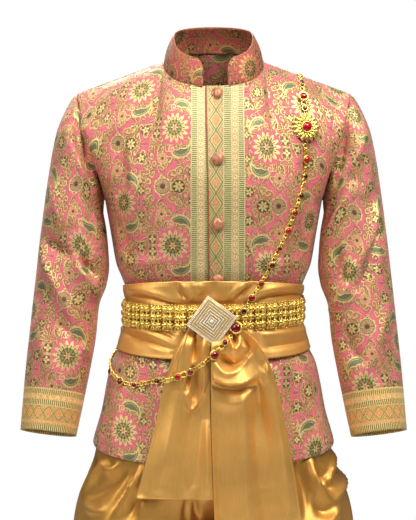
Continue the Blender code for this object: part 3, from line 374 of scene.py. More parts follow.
TAIL_RIGHT_CREASES = creases(
    (3, 91, 5, 80, 5, 69, 5.7, 2.8),
    (6, 95, 17, 85, 24, 72, 6.3, 3.9, 1.4),
    (45, 95, 55, 86, 55, 78, 3.7, -6.9),
    (59, 77, 53, 69, 51, 61, 3.4, -6.3),
    (76, 94, 79, 85, 78, 74, 5.2, 3.3),
    (49, 63, 65, 51, 86, 65, 4.1, 5.3, 1.6),
    (66, 77, 65, 67, 65, 57, 3.9, -6.6),
    (85, 77, 86, 68, 85, 60, 4, 2.9),
    (74, 66, 70, 34, 66, 2, 14.9, -8.3),
    (34, 60, 30, 34, 27, 5, 17.2, 5),
    (93, 44, 93, 26, 92, 4, 10.3, 3.9),
)
TAIL_LEFT_CREASES = creases(
    (49, 97, 45, 91, 75, 96, 3.4, 5),
    (68, 98, 61, 96, 52, 93, 3.4, -6.3),
    (86, 98.5, 95, 94, 93, 87, 6.3, 9.4, 1.5),
    (94, 87, 89, 83, 80, 81, 5.7, 6),
    (82, 96, 83, 93, 65, 89, 5.7, -8.3),
    (10, 91, 37, 85, 68, 90, 8, -10.4, 1.2),
    (9, 86, 35, 83, 79, 91, 4.6, 5.5),
    (0, 81, 38, 79, 82, 83, 4, 9.4, 3.6),
    (2, 78, 38, 76, 72, 78.5, 5.2, -4.9),
    (72, 79, 65, 58, 60, 22, 12.6, -9.6),
    (6, 74, 28, 71, 56, 74, 10.3, 2.4, 1.2),
    (46, 75, 41, 52, 35, 15, 14.9, 5),
    (90, 81, 89, 60, 87, 22, 10.3, 5, 1.2),
    (17, 70, 13, 45, 11, 10, 17.2, -4.9),
    (45, 36, 47, 22, 50, 6, 17.2, 2.4),
)
# Across on the chong kraben is the turn round one leg from the front seam to the back one.
KRABEN_LEFT_CREASES = creases(
    (30.5, 61.2, 29.7, 54.7, 35.1, 49.6, 5.2, 10.7, 1.6),
    (35.1, 49.6, 40.5, 51.8, 51.4, 54.7, 5.7, 8.6, 1.2),
    (34.2, 60.4, 33.3, 56.1, 36, 52.5, 6.9, -9.4),
    (47, 60.4, 40.5, 57.6, 33.3, 53.2, 5.2, 6.5, 1.2),
    (31.5, 56.1, 34.2, 56.1, 38.7, 56.1, 4, -5),
    (43.2, 58.3, 43.2, 56.1, 39.6, 54.7, 4.6, -5.7),
    (25.2, 60.4, 26.1, 54.7, 27, 46, 6.9, -7.1, 1.4),
    (37.8, 48.9, 34.2, 46, 30.6, 43.2, 10.3, 7.9, 1.2),
    (29.7, 51.1, 31.5, 48.2, 35.1, 47.5, 8, -6.5),
)
KRABEN_RIGHT_CREASES = creases(
    (36, 59.7, 37.8, 55.4, 43.2, 49.6, 4.8, 7.6, 1.8),
    (41.4, 60.4, 42.3, 56.8, 40.5, 54, 5.7, -6.2),
    (36, 59.7, 32.4, 57.6, 29.7, 59.7, 4.1, 6.2, 1.6),
    (26.1, 58.3, 31.5, 54, 39.6, 49.6, 9.2, -8.3, 1.4),
    (23.4, 59.7, 25.2, 54, 30.6, 46.8, 3.9, -6.8),
    (22.5, 59, 23.4, 54, 29.7, 46.8, 5.2, 7.6, 1.2),
    (21.6, 53.2, 23.4, 49.6, 27, 46, 5.2, -5.8),
    (18.9, 52.5, 20.7, 49.6, 22.5, 45.3, 4.4, 5.3),
    (7.2, 52.5, 9, 48.9, 11.7, 44.6, 4.6, -5.8),
    (5.4, 52.5, 6.3, 48.9, 7.2, 43.9, 4.6, -5.8),
    (40.5, 49.6, 36, 47.5, 31.5, 48.9, 5.7, 4.4),
)
LOWER_CREASES = creases(  # the cowls lower down and behind, on both legs
    (16, 44, 36, 31, 56, 43, 20, 7.1),
    (15, 39, 36, 24, 57, 37, 18, -6.4),
    (13, 32, 35, 16, 56, 28, 23, 6.7),
    (88, 60, 73, 46, 58, 60, 20, 6.4),
    (86, 55, 73, 42, 60, 53, 7, 3.4, 1.5),
    (88, 49, 73, 34, 58, 49, 20, -6),
    (88, 38, 73, 23, 58, 38, 23, 6.7),
    (92, 58, 93, 44, 91, 26, 10, 3.7),
    (7, 42, 8, 34, 9, 22, 16, 4.5),
)

# ---------------- small tools


def linear(code):
    """An sRGB hex colour as linear red, green, blue and 1."""
    shares = [int(code[i : i + 2], 16) / 255 for i in (1, 3, 5)]
    return tuple(
        s / 12.92 if s <= 0.04045 else ((s + 0.055) / 1.055) ** 2.4 for s in shares
    ) + (1.0,)


def ease(value, low=0.0, high=1.0):
    """0 up to low, 1 from high on, and smooth between them."""
    t = np.clip((np.asarray(value, float) - low) / (high - low), 0, 1)
    return t * t * (3 - 2 * t)


def read(table, column, at):
    """A smooth curve through one column of a table, over its first column."""
    xs = np.array([row[0] for row in table], float)
    ys = np.array([getattr(row, column) for row in table], float)
    step = np.diff(xs)
    slope = np.diff(ys) / step
    product = slope[:-1] * slope[1:]
    mean = 2 * product / np.where(product > 0, slope[:-1] + slope[1:], 1)
    bend = np.concatenate([[slope[0]], np.where(product > 0, mean, 0), [slope[-1]]])
    at = np.clip(np.asarray(at, float), xs[0], xs[-1])
    i = np.clip(np.searchsorted(xs, at, side="right") - 1, 0, len(step) - 1)
    t = (at - xs[i]) / step[i]
    rest = 1 - t
    return (
        ys[i] * (1 + 2 * t) * rest**2
        + bend[i] * step[i] * t * rest**2
        + ys[i + 1] * t**2 * (3 - 2 * t)
        - bend[i + 1] * step[i] * t**2 * rest
    )


def power(value, exponent):
    """A power that keeps the sign."""
    return np.sign(value) * np.abs(value) ** exponent


def point(x, y, z):
    """x, y and z as an array of points."""
    return np.stack(np.broadcast_arrays(x, y, z), axis=-1).astype(float)


def travelled(line):
    """How far along a line of points each of them is."""
    return np.concatenate([[0], np.cumsum(np.linalg.norm(np.diff(line, axis=0), axis=1))])


def unit(vectors):
    """The vectors at a length of 1."""
    return vectors / np.maximum(np.linalg.norm(vectors, axis=-1, keepdims=True), 1e-12)


def normals(sheet, tube=False):
    """The outward normals of a sheet whose rows go up and whose columns go round."""
    if tube:
        across = np.roll(sheet, -1, axis=1) - np.roll(sheet, 1, axis=1)
    else:
        across = np.gradient(sheet, axis=1)
    return unit(np.cross(across, np.gradient(sheet, axis=0)))


def uneven(a, b, step, phase=0.0):
    """A gentle unevenness between -1 and 1 over two lengths, about step from hill to hill."""
    total = 0
    for turn, scale, shift in ((0.3, 1.0, 0.4), (1.5, 1.3, 2.1), (2.4, 0.8, 4.4), (0.9, 1.9, 1.2)):
        way = a * math.cos(turn + phase) + b * math.sin(turn + phase)
        total = total + np.sin(way * scale * math.pi / step + shift + 3 * phase)
    return total / 4


def on_sheet(sheet, across, up, tube=False):
    """The points of a sheet at shares of it across and up."""
    rows, columns = sheet.shape[:2]
    x = across * columns if tube else np.clip(across, 0, 1) * (columns - 1.001)
    y = np.clip(up, 0, 1) * (rows - 1.001)
    i, j = np.floor(y).astype(int), np.floor(x).astype(int)
    a, b = (y - i)[:, None], (x - j)[:, None]
    j, n = j % columns, (j + 1) % columns
    low = sheet[i, j] * (1 - b) + sheet[i, n] * b
    return low * (1 - a) + (sheet[i + 1, j] * (1 - b) + sheet[i + 1, n] * b) * a


def creased(sheet, table, strength, tube=False, sides=0.1, top=(0.94, 1.0), bottom=(-0.1, -0.05)):
    """The sheet with its creases raised or sunk along its normals. They die away towards
    its sides, over that share of it, and between the shares of its height given."""
    rows, columns = sheet.shape[:2]
    out = normals(sheet, tube)
    lift = sum(crease_lift(sheet, out, crease, tube) for crease in table) * strength
    up = np.linspace(0, 1, rows)[:, None]
    lift *= (1 - ease(up, *top)) * ease(up, *bottom)
    if not tube:
        across = np.linspace(0, 1, columns)
        lift *= ease(across, 0, sides) * (1 - ease(across, 1 - sides, 1))
    return sheet + out * lift[..., None]


def crease_lift(sheet, out, crease, tube):
    """How high a crease stands at each point of a sheet. out holds the sheet's normals."""
    start, middle, end = (np.array(crease[i : i + 2]) for i in (0, 2, 4))
    turn = 2 * middle - (start + end) / 2  # the control point of an arc through the middle
    share = np.linspace(0, 1, 15)[:, None]
    arc = start * (1 - share) ** 2 + turn * 2 * share * (1 - share) + end * share**2
    line = on_sheet(sheet, arc[:, 0], arc[:, 1], tube)
    centre = line.mean(axis=0)
    spread = max(crease.spread, 1) * crease.width
    radius = np.linalg.norm(line - centre, axis=1).max() + 3 * spread
    close = np.linalg.norm(sheet - centre, axis=-1) < radius
    spots, up = sheet[close], out[close]
    nearest, beside, along = (np.full(len(spots), value) for value in (1e9, 0.0, 0.0))
    for i, run in enumerate(np.diff(line, axis=0)):
        away = spots - line[i]
        low = -9 if i == 0 else 0
        most = 9 if i == len(line) - 2 else 1
        t = np.clip(away @ run / max(run @ run, 1e-12), low, most)
        gap = away - t[:, None] * run
        off = np.linalg.norm(gap, axis=1)
        hand = np.sign((np.cross(gap, run) * up).sum(axis=1))
        closer = off < nearest
        nearest = np.where(closer, off, nearest)
        beside = np.where(closer, hand * off, beside)
        along = np.where(closer, (i + t) / (len(line) - 1), along)
    reach = np.where(beside > 0, crease.width, crease.width * crease.spread)
    ends = np.sin(math.pi * np.clip(0.04 + 0.92 * along, 0, 1)) ** 0.8
    lift = np.zeros(sheet.shape[:2])
    lift[close] = crease.height * ends * np.exp(-(np.abs(beside / reach) ** 1.4))
    return lift


# ---------------- meshes


def new_piece(name, points, faces, finishes, uses=None, uvs=None):
    """A mesh object of that name, shaded smooth. uses says which finish each face has,
    and uvs holds one array of places per face corner for each named layer."""
    mesh = bpy.data.meshes.new(name)
    mesh.from_pydata(np.asarray(points, float).tolist(), [], faces)
    for finish in finishes:
        mesh.materials.append(finish)
    if uses is not None:
        mesh.polygons.foreach_set("material_index", np.array(uses, np.int32))
    mesh.shade_smooth()
    for layer, places in (uvs or {}).items():
        made = mesh.uv_layers.new(name=layer)
        made.data.foreach_set("uv", np.asarray(places, np.float32).ravel())
    made = bpy.data.objects.new(name, mesh)
    bpy.context.scene.collection.objects.link(made)
    return made


def shell(name, outer, wall, finish, tube=False, uvs=None):
    """One closed solid: a sheet of cloth whose outer face is given, and its inner one
    lies a wall's thickness in. uvs hold a place for each point of the outer sheet, and
    on a tube those of its first column once more at the end."""
    inner = outer - normals(outer, tube) * wall
    rows, columns = outer.shape[:2]
    spans = columns if tube else columns - 1
    row, column = np.meshgrid(np.arange(rows - 1), np.arange(spans), indexing="ij")
    corners = [(row, column), (row, column + 1), (row + 1, column + 1), (row + 1, column)]
    last, side = rows - 1, columns - 1
    first = np.arange(spans)
    top = last + 0 * first
    rims = [(0 * first, first + 1, 0 * first, first), (top, first, top, first + 1)]
    if not tube:
        up = np.arange(last)
        rims += [(up, 0 * up, up + 1, 0 * up), (up + 1, side + 0 * up, up, side + 0 * up)]
    rims = [np.concatenate(part) for part in zip(*rims)]

    def faces_of(width, closing):
        """Faces as places in a grid of that width; closing wraps its last column."""

        def at(r, c):
            """The places of the points in those rows and columns."""
            return (r * width + (c % columns if closing else c)).ravel()

        face = np.stack([at(*corner) for corner in corners], axis=1)
        starts, ends = at(*rims[:2]), at(*rims[2:])
        count = rows * columns if closing else 0
        rim = np.stack([starts, ends, count + ends, count + starts], axis=1)
        return np.concatenate([face, count + face[:, ::-1], rim])

    points = np.concatenate([outer.reshape(-1, 3), inner.reshape(-1, 3)])
    spots = faces_of(spans + 1, False).ravel()
    layers = {layer: places.reshape(-1, 2)[spots] for layer, places in (uvs or {}).items()}
    return new_piece(name, points, faces_of(columns, True).tolist(), [finish], uvs=layers)


def lengths(sheet, axis, start):
    """Lengths along the rows (axis 1) or columns (axis 0) of a sheet, from index start."""
    steps = np.linalg.norm(np.diff(sheet, axis=axis), axis=-1)
    pad = [(0, 0), (0, 0)]
    pad[axis] = (1, 0)
    run = np.pad(np.cumsum(steps, axis=axis), pad)
    return run - np.take(run, [start], axis=axis)


def tree_of(objects):
    """One search tree of the surfaces of objects."""
    points, faces = [], []
    for thing in objects:
        mesh = thing.data
        mesh.calc_loop_triangles()
        co = np.zeros(3 * len(mesh.vertices))
        mesh.vertices.foreach_get("co", co)
        triangles = np.zeros(3 * len(mesh.loop_triangles), np.int32)
        mesh.loop_triangles.foreach_get("vertices", triangles)
        faces += (len(points) + triangles.reshape(-1, 3)).tolist()
        points += co.reshape(-1, 3).tolist()
    return BVHTree.FromPolygons(points, faces)


SIGHT = 0.6  # metres from the origin's plane from where the body is looked at


def met(tree, start, way):
    """Where a ray meets the tree, and the normal there."""
    place, normal, _, _ = tree.ray_cast(Vector(start), Vector(way).normalized())
    if place is None:
        raise ValueError(f"nothing is met from {tuple(start)}")
    return place, normal


def ahead_at(tree, x, z):
    """Where the tree's surface shows from the front at x and z, and its normal there."""
    place, normal = met(tree, (x, -SIGHT, z), (0, 1, 0))
    return np.array(place), np.array(normal)


def shown(*names):
    """The pieces of those names, as they were built."""
    return [bpy.data.objects[name] for name in names]


def settle(piece, slot, *nodes):
    """Says what a finished piece stands for: it rides on the one body and replaces those nodes.
    slot is not used."""
    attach(piece, "root")
    if nodes:
        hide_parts(*nodes)


# ---------------- the body's rings


def on_body(turn, z, out=0.0):
    """A point of the jacket's ring at height z. turn is 0 at the front centre and pi / 2
    at the wearer's left; out moves the point off the surface, level."""
    z = np.asarray(z, float)
    depth = np.where(np.cos(turn) > 0, read(BODY, "front", z), read(BODY, "back", z))
    width = read(BODY, "half_width", z)
    x = width * power(np.sin(turn), 2 / SQUARE)
    y = -depth * power(np.cos(turn), 2 / SQUARE)
    lean = point(
        power(x / width, SQUARE - 1) / width,
        power(y / depth, SQUARE - 1) / depth,
        0,
    )
    return point(x, y, z) + unit(lean) * np.asarray(out, float)[..., None]


def quarter(share):
    """The turn at a share of the way from the front centre to the side."""
    turns = np.linspace(0, math.pi / 2, 2001)
    along = travelled(on_body(turns, ARMPIT_Z))
    return np.interp(share, along / along[-1], turns)


# ---------------- jacket

NECK_SHARE = 0.40  # the part of a panel's top edge that is neckline and not shoulder
ARC = 0.25  # metres from the centre to the side seam at the armpit, near enough
YOKE = 0.20  # metres from the armpit's level to the shoulder seam, near enough
UNEVEN = 0.0007  # how far the brocade stands off its even shape
FRONT_COLUMNS, LOWER_ROWS, UPPER_ROWS = 90, 92, 58
CUFF_BORDER = (0.0, 0.012, 0.017, 0.041, 0.051, 0.059, 0.069, 0.075)  # up from the hem
FRONT_BORDER = (-0.017, -0.005, 0.0, 0.024, 0.037, 0.049, 0.0595, 0.063)  # from the edge


def neckline(share, face):
    """The neckline at a share of its length from the centre (0) to the shoulder seam (1);
    face is -1 in front. Past the centre the share is below 0."""
    reach = NECK_FRONT if face < 0 else NECK_BACK
    height = NECK_FRONT_Z if face < 0 else NECK_BACK_Z
    turns = np.linspace(0, math.pi / 2, 801)
    ahead = np.cos(turns) ** (2 / NECK_SQUARE)
    across = np.sin(turns) ** (2 / NECK_SQUARE)
    line = point(NECK_HALF_WIDTH * across, face * reach * ahead, height * ahead)
    along = travelled(line)
    size = np.abs(share) * along[-1]
    found = [np.interp(size, along, line[:, axis]) for axis in range(3)]
    return point(found[0] * np.where(share < 0, -1, 1), found[1], found[2])


def top_edge(share, face):
    """The upper edge of a panel: its neckline, then its shoulder seam."""
    size = np.abs(share)
    neck = neckline(np.clip(size / NECK_SHARE, 0, 1), face)
    along = np.clip((size - NECK_SHARE) / (1 - NECK_SHARE), 0, 1)[..., None]
    start = np.array([NECK_HALF_WIDTH, 0, 0])
    shoulder = start + along * (np.array(SHOULDER) - start)
    return np.where((size <= NECK_SHARE)[..., None], neck, shoulder)


def bodice(share, rise, face):
    """The jacket's front (face -1) or back (1) on the wearer's left. share is 0 at the
    centre and 1 at the side seam and armhole, and past the centre it is below 0.
    rise is 0 at the hem, 1 at the armpit and 2 at the neckline and shoulder seam."""
    share, rise = np.broadcast_arrays(np.asarray(share, float), np.asarray(rise, float))
    size = np.abs(share)
    turn = quarter(size) if face < 0 else math.pi - quarter(size)
    hem = HEM_SIDE_Z - HEM_DIP * (1 - size**2)
    lower = on_body(turn, hem + (ARMPIT_Z - hem) * np.clip(rise, 0, 1))

    foot, below = on_body(turn, ARMPIT_Z), on_body(turn, ARMPIT_Z - 0.02)
    edge = ease(size, 0.60, 1.0)  # how near the armhole is
    neck = 1 - ease(size, -0.05, 0.44)  # how near the neck is
    # leave and reach are the ways in which the curve sets out and comes in, in metres
    leave = (foot - below) / 0.02 * 0.21
    leave += point(0, face * 0.235 * edge, -0.05 * edge)
    reach = point(
        0.040 * edge,
        -face * (0.235 - 0.185 * neck + 0.015 * edge),
        0.035 + 0.13 * neck + 0.15 * edge,
    )
    t = np.clip(rise - 1, 0, 1)[..., None]
    upper = (
        foot * (1 + 2 * t) * (1 - t) ** 2
        + leave * t * (1 - t) ** 2
        + top_edge(share, face) * t**2 * (3 - 2 * t)
        - reach * t**2 * (1 - t)
    )
    made = np.where(rise[..., None] <= 1, lower, upper)
    made[..., 0] *= np.where(share < 0, -1, 1)
    return made


def mirrored(sheet, tube=False):
    """The same sheet on the wearer's right, with its columns still going round."""
    turned = sheet[:, ::-1] * np.array([-1, 1, 1])
    return np.roll(turned, 1, axis=1) if tube else turned


def armhole(turn):
    """The armhole's edge: 0 is the shoulder, pi / 2 the back and pi the armpit."""
    rise = 1 + np.abs(1 - turn / math.pi)
    behind = (turn < math.pi)[..., None]
    return np.where(behind, bodice(1.0, rise, 1), bodice(1.0, rise, -1))


def sleeve(share, turn):
    """A point of the wearer's left sleeve, from the armhole (0) to the cuff (1)."""
    row = {name: read(SLEEVE, name, share) for name in SLEEVE[0]._fields[1:]}
    outer = point(row["outer_x"], row["middle_y"], row["outer_z"])
    inner = point(row["inner_x"], row["middle_y"], row["inner_z"])
    cos, sin = np.cos(turn)[..., None], np.sin(turn)[..., None]
    ring = (outer + inner) / 2 + cos * (outer - inner) / 2
    ring = ring + sin * point(0, row["depth"], -row["tilt"])
    at_hole = armhole(turn) + point(SEAM, 0, 0)
    joined = ease(share, 0, 0.15)[..., None]
    return at_hole * (1 - joined) + ring * joined


def body_rises():
    """The rises of a panel's rows, from its hem to just short of its shoulder seam."""
    upper = np.linspace(1, 2 - SEAM / 2 / YOKE, UPPER_ROWS + 1)[1:]
    return np.concatenate([np.linspace(0, 1, LOWER_ROWS + 1), upper])


def rolled(sheet, seams, depth=0.0009, width=0.0035):
    """The sheet with its seamed edges rolled in. seams holds, for each seamed edge, the
    lengths of all places of the sheet from it."""
    dip = sum(np.exp(-((away / width) ** 2)) for away in seams)
    return sheet - normals(sheet) * (depth * np.minimum(dip, 1))[..., None]


def front_panel(start, table, strength):
    """One front, from start past the centre to the side seam, and its weave places."""
    shares = np.linspace(-start / ARC, 1 - SEAM / 2 / ARC, FRONT_COLUMNS)
    share, rise = np.meshgrid(shares, body_rises())
    sheet = creased(bodice(share, rise, -1), table, strength, sides=0.08, top=(0.90, 1.0))
    across, up = lengths(sheet, 1, -1), lengths(sheet, 0, LOWER_ROWS)
    from_shoulder = np.where(share > NECK_SHARE, -lengths(sheet, 0, -1), 1)
    sheet = rolled(sheet, [np.abs(across), from_shoulder])
    sheet = sheet + normals(sheet) * (UNEVEN * uneven(across, up, 0.09))[..., None]
    centre = np.argmin(np.abs(shares))
    return sheet, np.stack([lengths(sheet, 1, centre), up], axis=-1)


def back_panel(strength):
    """The back in one, from side seam to side seam, and its weave places."""
    half = np.linspace(0, 1 - SEAM / 2 / ARC, FRONT_COLUMNS)
    share, rise = np.meshgrid(half, body_rises())
    sheet = bodice(share, rise, 1)
    whole = np.concatenate([sheet[:, ::-1], sheet[:, 1:] * np.array([-1, 1, 1])], axis=1)
    whole = creased(whole, BACK_CREASES, strength)
    across, up = lengths(whole, 1, FRONT_COLUMNS - 1), lengths(whole, 0, LOWER_ROWS)
    whole = rolled(whole, [np.abs(lengths(whole, 1, edge)) for edge in (0, -1)])
    whole = whole + normals(whole) * (UNEVEN * uneven(across, up, 0.10, 1.0))[..., None]
    return whole, np.stack([across, up], axis=-1)


SLEEVE_COLUMNS, SLEEVE_ROWS = 128, 180
ARMHOLE_SUNK, ARMHOLE_WIDTH = 0.0018, 0.0050  # of the armhole's seam
SLEEVE_UNEVEN = 0.0008


def sleeve_tube(table, strength):
    """The wearer's left sleeve's sheet from cuff to armhole, and its weave places: across
    from the middle of its front, up from the hem. Its columns start at the underarm."""
    turns = 2 * math.pi * (0.5 + np.arange(SLEEVE_COLUMNS) / SLEEVE_COLUMNS)
    even = np.linspace(1, 0, SLEEVE_ROWS)
    turn, share = np.meshgrid(turns % (2 * math.pi), 0.3 * ease(even) + 0.7 * even)
    sheet = creased(sleeve(share, turn), table, strength, True, top=(0.97, 1.0), bottom=(-0.05, 0.06))
    whole = np.concatenate([sheet, sheet[:, :1]], axis=1)
    across, up = lengths(whole, 1, SLEEVE_COLUMNS // 4), lengths(whole, 0, 0)
    rise = SLEEVE_UNEVEN * uneven(across, up, 0.08, 2.0)
    rise -= ARMHOLE_SUNK * np.exp(-((lengths(whole, 0, -1) / ARMHOLE_WIDTH) ** 2))
    sheet = sheet + normals(sheet, True) * rise[:, :-1, None]
    return sheet, np.stack([across, up], axis=-1)


# ---------------- sash


def sash_out(turn, rise):
    """How far off the jacket the sash lies."""
    front = np.clip(np.cos(turn), 0, 1) ** 3
    return read(SASH, "out", rise) + front * read(SASH, "front_out", rise)


def sash_height(turn, rise):
    """The height of the sash at a rise of 0 (its lower edge) to 1 (its upper edge)."""
    front = np.clip(np.cos(turn), -0.2, 1)
    top = SASH_TOP[0] + SASH_TOP[1] * front
    bottom = SASH_BOTTOM[0] + SASH_BOTTOM[1] * front
    return bottom + (top - bottom) * rise


def belt_middle(turn):
    """The height of the belt's middle line: it rises towards the wearer's left."""
    return BELT_Z + BELT_RISE * np.sin(turn)


def nearest_depth(tree, x, z, otherwise):
    """How far forward the tree's surface is at x and z."""
    place = tree.ray_cast(Vector((x, -SIGHT, z)), Vector((0, 1, 0)))[0]
    return -place.y if place else otherwise


def settled(values, width):
    """A run of depths made smooth without going below itself: each place takes the most
    of those within twice width of it, then the mean of those within width."""
    padded = np.pad(np.asarray(values, float), 2 * width, mode="edge")
    most = np.array([padded[i : i + 4 * width + 1].max() for i in range(len(values))])
    padded = np.pad(most, width, mode="edge")
    return np.array([padded[i : i + 2 * width + 1].mean() for i in range(len(values))])


# ---------------- chong kraben


def kraben(share, z):
    """A point of the wearer's left half: share goes from the front seam (0) round the
    outside (0.5) to the back seam (1). Below the crotch the two seams meet."""
    turn = np.where(share < 0.5, quarter(2 * share), math.pi - quarter(2 - 2 * share))
    centre = np.exp(-((math.pi * share / 0.35) ** 2)) * ease(z, -0.72, -0.66)
    half = on_body(turn, z, read(KRABEN_OUT, "out", z) - KRABEN_DIP * centre)
    inner, outer = read(KRABEN_LEG, "inner", z), read(KRABEN_LEG, "outer", z)
    depth = np.where(share < 0.5, read(KRABEN_LEG, "front", z), read(KRABEN_LEG, "back", z))
    round_leg = 2 * math.pi * share
    leg = point(
        (inner + outer) / 2 - (outer - inner) / 2 * np.cos(round_leg),
        -depth * np.sin(round_leg),
        z,
    )
    closed = ease(-z, -CROTCH[0], -CROTCH[1])[..., None]
    return half * (1 - closed) + leg * closed


# ---------------- turned and cast forms


def turned(profile, columns):
    """A closed form turned about +Z from (radius, height) pairs, foot to tip: its points
    and faces."""
    angles = 2 * math.pi * np.arange(columns) / columns
    rings = [
        np.stack([r * np.cos(angles), r * np.sin(angles), np.full(columns, h)], axis=1)
        for r, h in profile
    ]
    ends = np.array([[0, 0, profile[0][1]], [0, 0, profile[-1][1]]])
    count = len(profile) * columns
    faces = []
    for c in range(columns):
        n = (c + 1) % columns
        for r in range(0, count - columns, columns):
            faces.append((r + c, r + n, r + columns + n, r + columns + c))
        faces.append((count, n, c))
        faces.append((count + 1, count - columns + c, count - columns + n))
    return np.concatenate(rings + [ends]), faces


def ball(columns=8, rows=5, flat=1.0):
    """A ball of radius 1, its height times flat."""
    tilts = np.linspace(-0.5, 0.5, rows + 2)[1:-1] * math.pi
    points, faces = turned([(math.cos(t), flat * math.sin(t)) for t in tilts], columns)
    points[-2:, 2] = -flat, flat
    return points, faces


def ring(size, thick, columns=16, rows=6):
    """A torus about +Z."""
    a, b = np.meshgrid(
        2 * math.pi * np.arange(columns) / columns,
        2 * math.pi * np.arange(rows) / rows,
        indexing="ij",
    )
    reach = size + thick * np.cos(b)
    points = point(reach * np.cos(a), reach * np.sin(a), thick * np.sin(b)).reshape(-1, 3)
    faces = []
    for i in range(columns):
        for j in range(rows):
            n, m = (i + 1) % columns, (j + 1) % rows
            faces.append((i * rows + j, n * rows + j, n * rows + m, i * rows + m))
    return points, faces


def placed(form, at, side, away, size=1.0):
    """The form moved to at, with its +X turned to side and its +Z to away."""
    away = unit(np.asarray(away, float))
    side = np.asarray(side, float)
    side = unit(side - away * (side @ away))
    axes = np.stack([side, np.cross(away, side), away])
    points, faces = form
    return (points * size) @ axes + np.asarray(at, float), faces


def piped(path, radius, sides=7):
    """A cord along a path of points, with rounded ends: its points and faces."""
    path = np.asarray(path, float)
    ahead = unit(np.gradient(path, axis=0))
    side = unit(np.cross(ahead, (0.31, 0.12, 0.94)))
    up = np.cross(ahead, side)
    spins = 2 * math.pi * np.arange(sides) / sides
    rings = (
        path[:, None]
        + radius * np.cos(spins)[None, :, None] * side[:, None]
        + radius * np.sin(spins)[None, :, None] * up[:, None]
    )
    ends = np.array([path[0] - ahead[0] * radius * 0.6, path[-1] + ahead[-1] * radius * 0.6])
    count = len(path) * sides
    faces = []
    for c in range(sides):
        n = (c + 1) % sides
        for r in range(0, count - sides, sides):
            faces.append((r + c, r + sides + c, r + sides + n, r + n))
        faces.append((count, c, n))
        faces.append((count + 1, count - sides + n, count - sides + c))
    return np.concatenate([rings.reshape(-1, 3), ends]), faces


def gathered(name, parts):
    """One piece of many forms, each given with its finish."""
    finishes = list(dict.fromkeys(finish for _, finish in parts))
    points, faces, uses, count = [], [], [], 0
    for (own, own_faces), finish in parts:
        points.append(own)
        faces += [[count + i for i in face] for face in own_faces]
        uses += [finishes.index(finish)] * len(own_faces)
        count += len(own)
    return new_piece(name, np.concatenate(points), faces, finishes, uses)


# ---------------- finishes


def feed(socket, value):
    """Gives a socket its value: a number, a colour or its hex code, another socket, a
    node's outputs, of which the first is taken, or None to leave it as it is."""
    if isinstance(value, str):
        value = linear(value)
    elif isinstance(value, bpy.types.bpy_prop_collection):
        value = value[0]
    if isinstance(value, bpy.types.NodeSocket):
        socket.id_data.links.new(value, socket)
    elif value is not None:
        socket.default_value = value


def add(tree, kind, *values, **settings):
    """Adds a node with its settings and gives back its outputs. kind may end in the
    node's operation, and each value feeds the input at its place."""
    kind, _, operation = kind.partition(" ")
    made = tree.nodes.new("ShaderNode" + kind)
    if operation:
        made.operation = operation
    for name, value in settings.items():
        setattr(made, name, value)
    for socket, value in zip(made.inputs, values):
        feed(socket, value)
    return made.outputs


def finish(name, colour, **settings):
    """A material, its tree and its shader, which has these plain settings."""
    made = bpy.data.materials.new(name)
    made.use_nodes = True
    shader = made.node_tree.nodes["Principled BSDF"]
    for key, value in {"Base Color": colour, **settings}.items():
        feed(shader.inputs[key], value)
    return made, made.node_tree, shader


def dressed(shader, colour, height, depth, **inputs):
    """Feeds the shader its colour and other inputs, and raises its surface by a height
    that goes from 0 to 1 over a depth in metres."""
    raised = add(shader.id_data, "Bump", 1.0, depth)[0]
    feed(raised.node.inputs["Height"], height)
    for name, value in {"Base Color": colour, "Normal": raised, **inputs}.items():
        feed(shader.inputs[name], value)


def inside(tree, distance, edge, soft=0.9):
    """1 where the distance is less than the edge, and 0 where it is more."""
    past = add(tree, "Math SUBTRACT", distance, edge)
    return add(tree, "MapRange", past, -soft / 2, soft / 2, 1.0, 0.0,
               interpolation_type="SMOOTHSTEP")


def between(tree, distance, low, high, soft=0.9):
    """1 where the distance lies between the two."""
    past = add(tree, "Math SUBTRACT", distance, (low + high) / 2)
    return inside(tree, add(tree, "Math ABSOLUTE", past), (high - low) / 2, soft)


def layered(tree, under, *layers):
    """The colour beneath with the layers over it. Each layer is its colour, then the
    masks that are all 1 where it shows."""
    for colour, where, *masks in layers:
        for mask in masks:
            where = add(tree, "Math MULTIPLY", where, mask, use_clamp=True)
        under = add(tree, "MixRGB", where, under, colour)
    return under


def polar(tree, place, centre):
    """How far a place is from the centre, and its angle there."""
    away = add(tree, "VectorMath SUBTRACT", place, centre)
    x, y, _ = add(tree, "SeparateXYZ", away)
    return add(tree, "VectorMath LENGTH", away)[1], add(tree, "Math ARCTAN2", y, x)


def petals(tree, far, angle, count, low, high, bend=1.0):
    """1 within a flower whose edge goes in and out between the two radii."""
    wave = add(tree, "Math COSINE", add(tree, "Math MULTIPLY", angle, count / 2))
    wave = add(tree, "Math POWER", add(tree, "Math ABSOLUTE", wave), bend)
    return inside(tree, far, add(tree, "Math MULTIPLY_ADD", wave, high - low, low))


CORAL, CREAM, BROWN = "#DB8A60", "#EFD48C", "#703E20"
OLIVE, LEAF = "#6A5E30", "#80805A"

# Millimetres between the rosettes' columns, up a column, and up to the next column's
COLUMN, REPEAT, STEP = 90.0, 195.0, 70.0
ROSETTE = 25.0  # its radius, in millimetres as well


def lattice(tree, weave):
    """The place in one repeat of the cloth, in millimetres: across from its rosette,
    and how far above or below it, for the repeat is a mirror image about it."""
    u, v, _ = add(tree, "SeparateXYZ", weave)
    column = add(tree, "Math ROUND", add(tree, "Math DIVIDE", u, COLUMN))
    x = add(tree, "Math MULTIPLY_ADD", column, -COLUMN, u)
    raised = add(tree, "Math MULTIPLY_ADD", column, -STEP, v)
    y = add(tree, "Math PINGPONG", add(tree, "Math ABSOLUTE", raised), REPEAT / 2)
    return add(tree, "CombineXYZ", x, y, 0.0)


